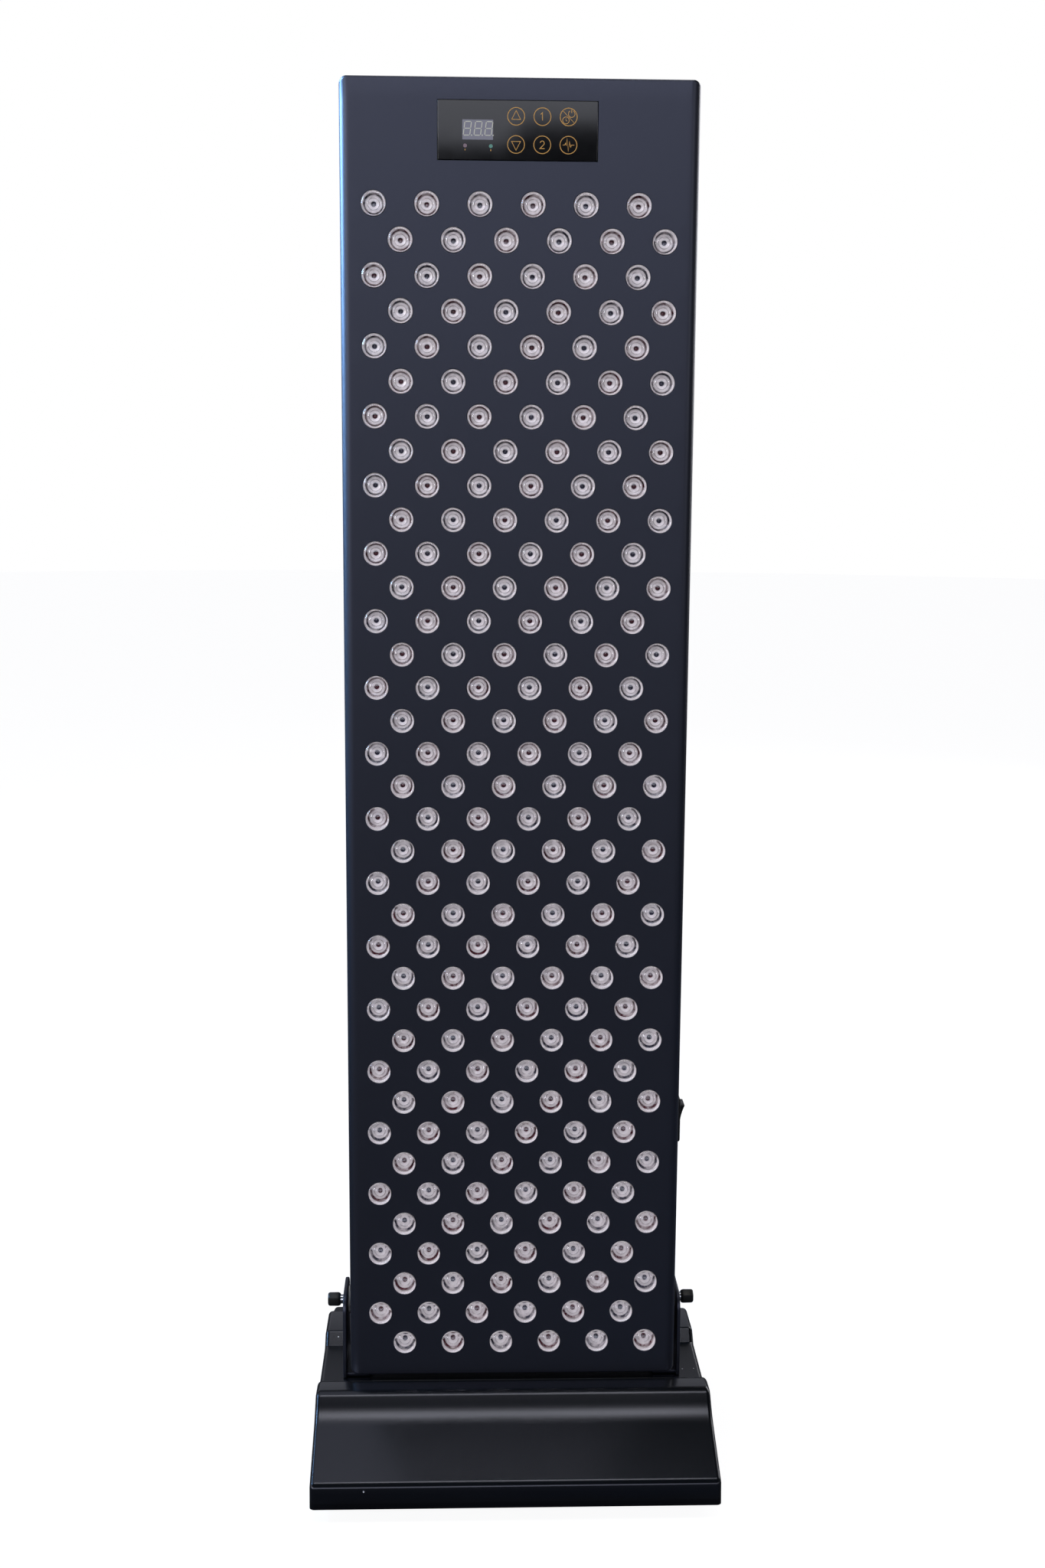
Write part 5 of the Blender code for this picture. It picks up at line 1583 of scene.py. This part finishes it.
@dataclass
class Pivot:
    """One side's ear, washer, threaded insert and thumb bolt."""

    word: str
    sign: int
    sheet: float = 0.0025
    ear_corner: float = 0.011
    ear_root: float = 0.0003
    ear_edge: float = 0.0007
    foot_front: float = 0.0255
    foot_corner: float = 0.002
    foot_gap: float = 0.0006
    top_front: float = 0.0225
    rear: float = 0.0200
    foot_width: float = 0.018
    shank: float = 0.003
    tip: float = 0.0005
    thread_reach: float = 0.001
    play: float = 0.0003
    washer_edge: float = 0.0003
    insert_body: float = 0.0045
    insert_flange: float = 0.0008
    insert_edge: float = 0.0002
    cap_across: float = 0.0049
    cap_length: float = 0.0084
    cap_flat_share: float = 0.90
    cap_ease: float = 0.75
    cap_round: float = 0.0016
    # The cap's root: shares of the way out from its neck, and heights
    cap_root: Pairs = ((0, 0), (0.45, 0.0002), (0.85, 0.0009), (1, 0.0018))
    neck_share: float = 0.72
    neck: float = 0.0026

    def __post_init__(self) -> None:
        """Takes the pivot's place from the joint and the solids."""
        self.height = pivot("panel_tilt")[2]
        self.facing = Facing.RIGHT if self.sign > 0 else Facing.LEFT
        self.outside = self._span("ear")[1]
        low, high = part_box(f"ear_{self.word}")
        self.foot, self.top = low.z, high.z

    def _span(self, kind: str) -> Pair:
        """How far a solid of this side starts and ends from the middle."""
        low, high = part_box(f"{kind}_{self.word}")
        return tuple(sorted((abs(low.x), abs(high.x))))

    def _plane(self, x: float) -> Plane:
        """A plane square to the pivot's axis, at a distance from the middle."""
        return Plane((self.sign * x, 0, self.height), self.facing)

    def _ear(self) -> None:
        """The ear: a rounded plate and its turned-in foot, with a bend between them."""
        foot, top = self.foot - self.height, self.top - self.height
        way, thick = self.sign, self.sheet
        corners = [(-self.foot_front * way, foot, self.ear_root),
                   (self.rear * way, foot, self.ear_root),
                   (self.rear * way, top, self.ear_corner),
                   (-self.top_front * way, top, self.ear_corner)][::way]
        skin = Skin()
        skin.plate(self._plane(self.outside - thick), rounded(corners, 10), thick, self.ear_edge)
        inner, outer = self.outside - self.foot_width, self.outside - self.foot_gap
        centre = Plane((way * (inner + outer) / 2, (self.rear - self.foot_front) / 2, self.foot),
                       Facing.UP)
        length = self.rear + self.foot_front - 2 * self.foot_corner
        skin.plate(centre, rounded_box(outer - inner, length, self.foot_corner, 5), thick,
                   self.ear_edge)
        skin.build(f"side_ear_{self.word}", "base", [CASE_PAINT], "case_paint",
                   (f"ear_{self.word}",))

    def _washer(self) -> None:
        """The nylon washer, turned."""
        low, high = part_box(f"friction_washer_{self.word}")
        start, end = self._span("friction_washer")
        radius, bore, thick = (high.z - low.z) / 2, self.shank + self.play, end - start
        edge = self.washer_edge
        skin = Skin()
        skin.turned(self._plane(start), [(radius - edge, 0), (radius, edge),
                                         (radius, thick - edge), (radius - edge, thick),
                                         (bore, thick), (bore, 0)], 40, ring=True)
        skin.build(f"nylon_washer_{self.word}", "base", [NYLON], "nylon",
                   (f"friction_washer_{self.word}",))

    def _insert(self) -> None:
        """The threaded insert with its flange, turned."""
        low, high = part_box(f"threaded_insert_{self.word}")
        start, end = self._span("threaded_insert")
        flange, bore, body, length = ((high.z - low.z) / 2, self.shank + self.play,
                                      self.insert_body, end - start)
        edge, step = self.insert_edge, length - self.insert_flange
        skin = Skin()
        skin.turned(self._plane(start),
                    [(bore, 0), (body, 0), (body, step), (flange, step), (flange, length - edge),
                     (flange - edge, length), (bore, length)], 40, ring=True)
        skin.build(f"insert_{self.word}", "panel", [ZINC], "plated_steel",
                   (f"threaded_insert_{self.word}",))

    def _bolt(self) -> None:
        """The thumb bolt: a bright shank and a black cap, a soft hexagon with round ends."""
        inner = self._span("pivot_bolt")[0]
        start = self.outside + self.neck
        shank, length = self.shank, start - inner + self.thread_reach
        skin = Skin()
        skin.turned(self._plane(inner), [(MERGE, 0), (shank - self.tip, 0), (shank, self.tip),
                                         (shank, length), (MERGE, length)], 32, 1)
        ring = hexagon(self.cap_across * self.cap_flat_share, 48, self.cap_ease)
        neck, radius = self.neck_share, self.cap_round
        loops = [(ring * (neck + (1 - neck) * share), rise) for share, rise in self.cap_root]
        loops += [(ring * (1 - (1 - math.cos(angle)) * radius / self.cap_across),
                   self.cap_length - radius + radius * math.sin(angle))
                  for angle in quarter(5)[1:]]
        skin.stack(self._plane(start), loops)
        skin.build(f"thumb_bolt_{self.word}", f"bolt_{self.word}", [BLACK_ABS, ZINC],
                   "black_plastic", (f"pivot_bolt_{self.word}",))

    def build(self) -> None:
        """Builds all that one side's pivot has."""
        self._ear()
        self._washer()
        self._insert()
        self._bolt()


# The base


@dataclass
class Base:
    """The ribbed base: a low shell carried along X, with rounded ends, and rubber feet."""

    wall: float = 0.0025
    lip_height: float = 0.0147
    lip_lean: float = 0.0016
    lip_drop: float = 0.0013
    lip_out: float = 0.0001
    lip_in: float = 0.0016
    lip_up: float = 0.0007
    cove_height: float = 0.0347
    cove_back: float = 0.0487
    ridge_height: float = 0.0450
    ridge_back: float = 0.0615
    shoulder_height: float = 0.0437
    shoulder_back: float = 0.0790
    dip_height: float = 0.0346
    dip_front: float = 0.0300
    dip_rear: float = 0.0210
    step_run: float = 0.0085
    deck_height: float = 0.0414
    crest_height: float = 0.0402
    end_radius: float = 0.0030
    end_steps: int = 5
    arc_steps: int = 10
    # At the section's corners, from the front rim over the top to the rear rim
    radii: tuple[float, ...] = (0, 0.00305, 0.0060, 0.055, 0.009, 0.014, 0.0012, 0.0012, 0.003,
                                0.010, 0.016, 0.0035, 0)
    foot_taper: float = 0.0015
    foot_round: float = 0.0012

    def __post_init__(self) -> None:
        """Takes the shell's box from the solid."""
        self.low, self.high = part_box("base_shell")

    def section(self) -> Array:
        """The shell seen from the right, from the front rim over the top to the rear rim.

        Returns:
            y and z of its points, an open line with arcs at its corners.
        """
        edge, rim = self.high.y, self.low.z
        drop = self.ridge_height - self.crest_height
        lip_y, lip_z = self.lip_lean - edge, rim + self.lip_height
        # The front rim, lip, cove, ridge, shoulder, dip, deck, crest and rear lip
        places = [(-edge, rim), (lip_y - self.lip_out, lip_z - self.lip_drop),
                  (lip_y + self.lip_in, lip_z + self.lip_up),
                  (self.cove_back - edge, rim + self.cove_height),
                  (self.ridge_back - edge, rim + self.ridge_height),
                  (self.shoulder_back - edge, rim + self.shoulder_height),
                  (-self.dip_front, rim + self.dip_height),
                  (self.dip_rear, rim + self.dip_height),
                  (self.dip_rear + self.step_run, rim + self.deck_height),
                  (edge - self.ridge_back, rim + self.crest_height),
                  (edge - self.cove_back, rim + self.cove_height - drop),
                  (edge - self.lip_lean, lip_z), (edge, rim)]
        corners = [(*place, radius) for place, radius in zip(places, self.radii)]
        return rounded(corners, self.arc_steps)

    def _shell(self) -> None:
        """The shell: its section carried along X, drawn in by a quarter round at both ends."""
        line = self.section()
        width = self.high.x - self.low.x
        start = Plane((self.low.x, 0, 0), Facing.RIGHT)
        rows = []
        for move, x in edge_levels(width, self.end_radius, self.end_steps):
            drawn = inset(line, -move, closed=False)
            drawn[[0, -1], 1] = line[[0, -1], 1]
            rows.append(start.lift(drawn, x))
        skin = Skin()
        skin.grid(np.stack(rows), wrap=False)
        skin.cap(rows[0])
        skin.cap(rows[-1])
        shell = skin.build("ribbed_base", "base", [BASE_PAINT], "base_paint", ("base_shell",))
        self._face_out(shell)
        wall = shell.modifiers.new("wall", "SOLIDIFY")
        wall.thickness, wall.offset, wall.use_even_offset = self.wall, -1.0, True

    def _face_out(self, shell: bpy.types.Object) -> None:
        """Turns the open shell's faces outwards, so that on the whole they face up.

        Args:
            shell: the piece.
        """
        mesh = shell.data
        normals = np.zeros(len(mesh.polygons) * 3)
        areas = np.zeros(len(mesh.polygons))
        mesh.polygons.foreach_get("normal", normals)
        mesh.polygons.foreach_get("area", areas)
        if normals.reshape(-1, 3)[:, 2] @ areas < 0:
            mesh.flip_normals()

    def _feet(self) -> None:
        """Rubber feet: turned, with a round lower edge."""
        r = self.foot_round
        for index in range(1, 5):
            node = f"rubber_foot_{index}"
            low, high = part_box(node)
            place = middle(node)
            top, height = (high.x - low.x) / 2, high.z
            flat = top - self.foot_taper - r
            lower = [(flat + r * math.sin(angle), r - r * math.cos(angle)) for angle in quarter(4)]
            skin = Skin()
            skin.turned(Plane((place.x, place.y, 0), Facing.UP),
                        [(MERGE, 0), *lower, (top, height), (MERGE, height)], 40)
            skin.build(f"foot_{index}", "base", [RUBBER], "rubber", (node,))

    def build(self) -> None:
        """Builds the shell and the feet."""
        self._shell()
        self._feet()


@dataclass
class InnerParts:
    """The solids that stay as they are, with their finishes."""

    def dress(self) -> None:
        """Gives each of them its material."""
        finishes = {"heat_sink": ALUMINIUM, "display_module": DISPLAY_GREY,
                    "control_board": GREEN_BOARD, "led_driver_1": ALUMINIUM,
                    "led_driver_2": ALUMINIUM, "base_floor_plate": ZINC}
        finishes.update({f"led_board_{index}": LAMP_BOARD for index in range(1, 7)})
        finishes.update({f"bracket_screw_{index}": ZINC for index in range(1, 5)})
        for name, finish in finishes.items():
            mesh = frame["nodes"][name].data
            mesh.materials.clear()
            mesh.materials.append(finish.material())
            log.info("%s: %s", name, finish.name)


# Stage


@dataclass(frozen=True)
class SoftBox:
    """A soft rectangular lamp: its place, its aim, its size, its watts and its spread."""

    name: str
    place: Triple
    target: Triple
    size: Pair
    power: float
    colour: str = "#FFFFFF"
    spread_degrees: float = 180

    def hang(self) -> None:
        """Adds the lamp to the scene."""
        data = bpy.data.lights.new(self.name, "AREA")
        data.shape, data.size, data.size_y = "RECTANGLE", *self.size
        data.energy, data.color = self.power, linear(self.colour)
        data.spread = math.radians(self.spread_degrees)
        lamp = bpy.data.objects.new(self.name, data)
        lamp.location = self.place
        aim = Vector(self.target) - Vector(self.place)
        lamp.rotation_euler = aim.to_track_quat("-Z", "Y").to_euler()
        bpy.context.scene.collection.objects.link(lamp)


LAMPS = (
    SoftBox("left_behind", (-1.3, 0.35, 1.3), (0, 0, 0.8), (0.9, 0.8), 12, "#97CBFF", 42),
    SoftBox("overhead", (0, -0.12, 2.2), (0, -0.05, 0), (1.6, 0.34), 9),
    SoftBox("window_left", (-1.7, -1.85, 1.0), (0, 0, 0.5), (0.16, 0.6), 6),
    SoftBox("window_right", (1.7, -1.85, 1.0), (0, 0, 0.5), (0.16, 0.6), 3),
    SoftBox("right_fill", (2.2, 1.5, 1.0), (0, 0, 0.4), (1.0, 1.2), 9),
    SoftBox("back_fill", (1.5, 1.9, 1.3), (0, 0, 0.4), (1.2, 1.0), 12))


@dataclass
class Studio:
    """A pale floor, soft light and the camera at the photograph's place.

    The room's spans are coordinates of the direction looked in, from -1 to 1.
    """

    lens_mm: float = 43.80
    sensor_mm: float = 36.0
    clip: Pair = (0.02, 60)
    turn_degrees: Triple = (79.989, -0.381, -1.965)
    place: Triple = (-0.0371, -1.1943, 0.6457)
    floor_rings: tuple[float, ...] = (MERGE, 0.5, 2, 9)
    horizon: float = 0.1475
    horizon_blur: float = 0.0015
    window_sill: float = 0.0110
    sill_span: Pair = (0.022, 0.036)
    low_light: float = 0.06
    peak_light: float = 4.0
    # How far up the direction looks and the light there
    levels: Pairs = ((0.145, 0.36), (0.175, 0.42), (0.20, 0.9), (0.34, 0.9), (0.46, 0.20),
                     (0.60, 0.0))
    behind_span: Pair = (-0.2, 0.3)
    behind_share: float = 0.15
    right_span: Pair = (0.15, 0.5)
    right_share: float = 0.12
    ceiling: float = 0.8
    # The lit patch of ceiling grows along each axis between these
    ceiling_spans: tuple[tuple[str, float, float], ...] = (("Z", 0.6, 0.9), ("Y", 0.0, 0.2),
                                                           ("X", 0.06, -0.04))
    sky: str = "#EFF2FF"

    def _camera(self) -> None:
        """Sets the camera where the photograph was taken from."""
        data = bpy.data.cameras.new("camera")
        data.lens, data.sensor_width = self.lens_mm, self.sensor_mm
        data.clip_start, data.clip_end = self.clip
        camera = bpy.data.objects.new("camera", data)
        camera.location = self.place
        camera.rotation_euler = [math.radians(angle) for angle in self.turn_degrees]
        bpy.context.scene.collection.objects.link(camera)
        bpy.context.scene.camera = camera

    def _floor(self) -> None:
        """A wide round floor: rings of growing radius about the object."""
        skin = Skin()
        skin.stack(Plane((0, 0, 0), Facing.UP),
                   [(circle(radius, 64), 0) for radius in self.floor_rings], ends=False)
        mesh = bpy.data.meshes.new("floor")
        mesh.from_pydata(np.concatenate(skin.points), [], skin.faces)
        mesh.materials.append(FLOOR_PALE.material())
        floor = bpy.data.objects.new("floor", mesh)
        bpy.context.scene.collection.objects.link(floor)

    def _room_light(self, tree: Tree, axes: bpy.types.bpy_prop_collection) -> Socket:
        """Light by height, dimmer behind and on the right, with a lit patch of ceiling.

        Args:
            tree: the world's tree.
            axes: the X, Y and Z of the direction looked in.

        Returns:
            The strength above the horizon.
        """
        ramp = add_node(tree, "ShaderNodeValToRGB", Fac=axes["Z"])
        for place, _ in self.levels[2:]:
            ramp.color_ramp.elements.new(place)
        for element, (place, level) in zip(ramp.color_ramp.elements, self.levels):
            element.position, element.color = place, (level, level, level, 1)
        peak = self.peak_light
        start, end = self.behind_span
        behind = add_node(tree, "ShaderNodeMapRange", Value=axes["Y"], From_Min=start,
                          From_Max=end, To_Min=peak, To_Max=peak * self.behind_share)
        start, end = self.right_span
        right = add_node(tree, "ShaderNodeMapRange", Value=axes["X"], From_Min=start,
                         From_Max=end, To_Min=1.0, To_Max=self.right_share)
        share = add_node(tree, "ShaderNodeMath", PRODUCT, i0=right.outputs[0],
                         i1=behind.outputs[0])
        walls = add_node(tree, "ShaderNodeMath", PRODUCT, i0=ramp.outputs[0],
                         i1=share.outputs[0])
        patch = self.ceiling
        for axis, start, end in self.ceiling_spans:
            near = add_node(tree, "ShaderNodeMapRange", Value=axes[axis], From_Min=start,
                            From_Max=end)
            patch = add_node(tree, "ShaderNodeMath", PRODUCT, i0=patch,
                             i1=near.outputs[0]).outputs[0]
        return add_node(tree, "ShaderNodeMath", {"operation": "ADD"}, i0=walls.outputs[0],
                        i1=patch).outputs[0]

    def _world(self) -> None:
        """Soft light in a band above the horizon and little below, where a sill rises to it.

        Seen directly, the room is plain white.
        """
        world = bpy.data.worlds.new("studio")
        world.use_nodes = True
        tree = world.node_tree
        way = add_node(tree, "ShaderNodeTexCoord").outputs["Generated"]
        axes = add_node(tree, "ShaderNodeSeparateXYZ", Vector=way).outputs
        start, end = self.sill_span
        sill = add_node(tree, "ShaderNodeMapRange", {"interpolation_type": "SMOOTHSTEP"},
                        Value=axes["X"], From_Min=start, From_Max=end, To_Min=self.horizon,
                        To_Max=self.horizon + self.window_sill)
        rise = add_node(tree, "ShaderNodeMath", {"operation": "SUBTRACT"}, i0=axes["Z"],
                        i1=sill.outputs[0])
        above = add_node(tree, "ShaderNodeMapRange", Value=rise.outputs[0],
                         From_Min=-self.horizon_blur, From_Max=self.horizon_blur)
        lit = add_node(tree, "ShaderNodeMix", NUMBER_MIX, Factor=above.outputs[0],
                       i2=self.low_light, i3=self._room_light(tree, axes))
        seen = add_node(tree, "ShaderNodeLightPath").outputs["Is Camera Ray"]
        strength = add_node(tree, "ShaderNodeMix", NUMBER_MIX, Factor=seen, i2=lit.outputs[0],
                            i3=1.0)
        colour = add_node(tree, "ShaderNodeMix", COLOUR_MIX, Factor=seen, i6=rgba(self.sky),
                          i7=rgba("#FFFFFF"))
        shade = tree.nodes["Background"]
        tree.links.new(colour.outputs[2], shade.inputs["Color"])
        tree.links.new(strength.outputs[0], shade.inputs["Strength"])
        bpy.context.scene.world = world

    def build(self) -> None:
        """Builds the stage."""
        self._camera()
        self._floor()
        self._world()
        for lamp in LAMPS:
            lamp.hang()
        bpy.context.scene.view_settings.view_transform = "Standard"


def main() -> None:
    """Builds the stage and every sub-assembly in order."""
    logging.basicConfig(level=logging.INFO, format="%(name)s %(message)s", stream=sys.stdout)
    Studio().build()
    field = LensField()
    PanelCase(field).build()
    Lenses(field).build()
    ControlPane().build()
    BackPlate().build()
    Fans().build()
    RockerSwitch().build()
    for word, sign in (("left", -1), ("right", 1)):
        Pivot(word, sign).build()
    Base().build()
    InnerParts().dress()


if __name__ == "__main__":
    main()
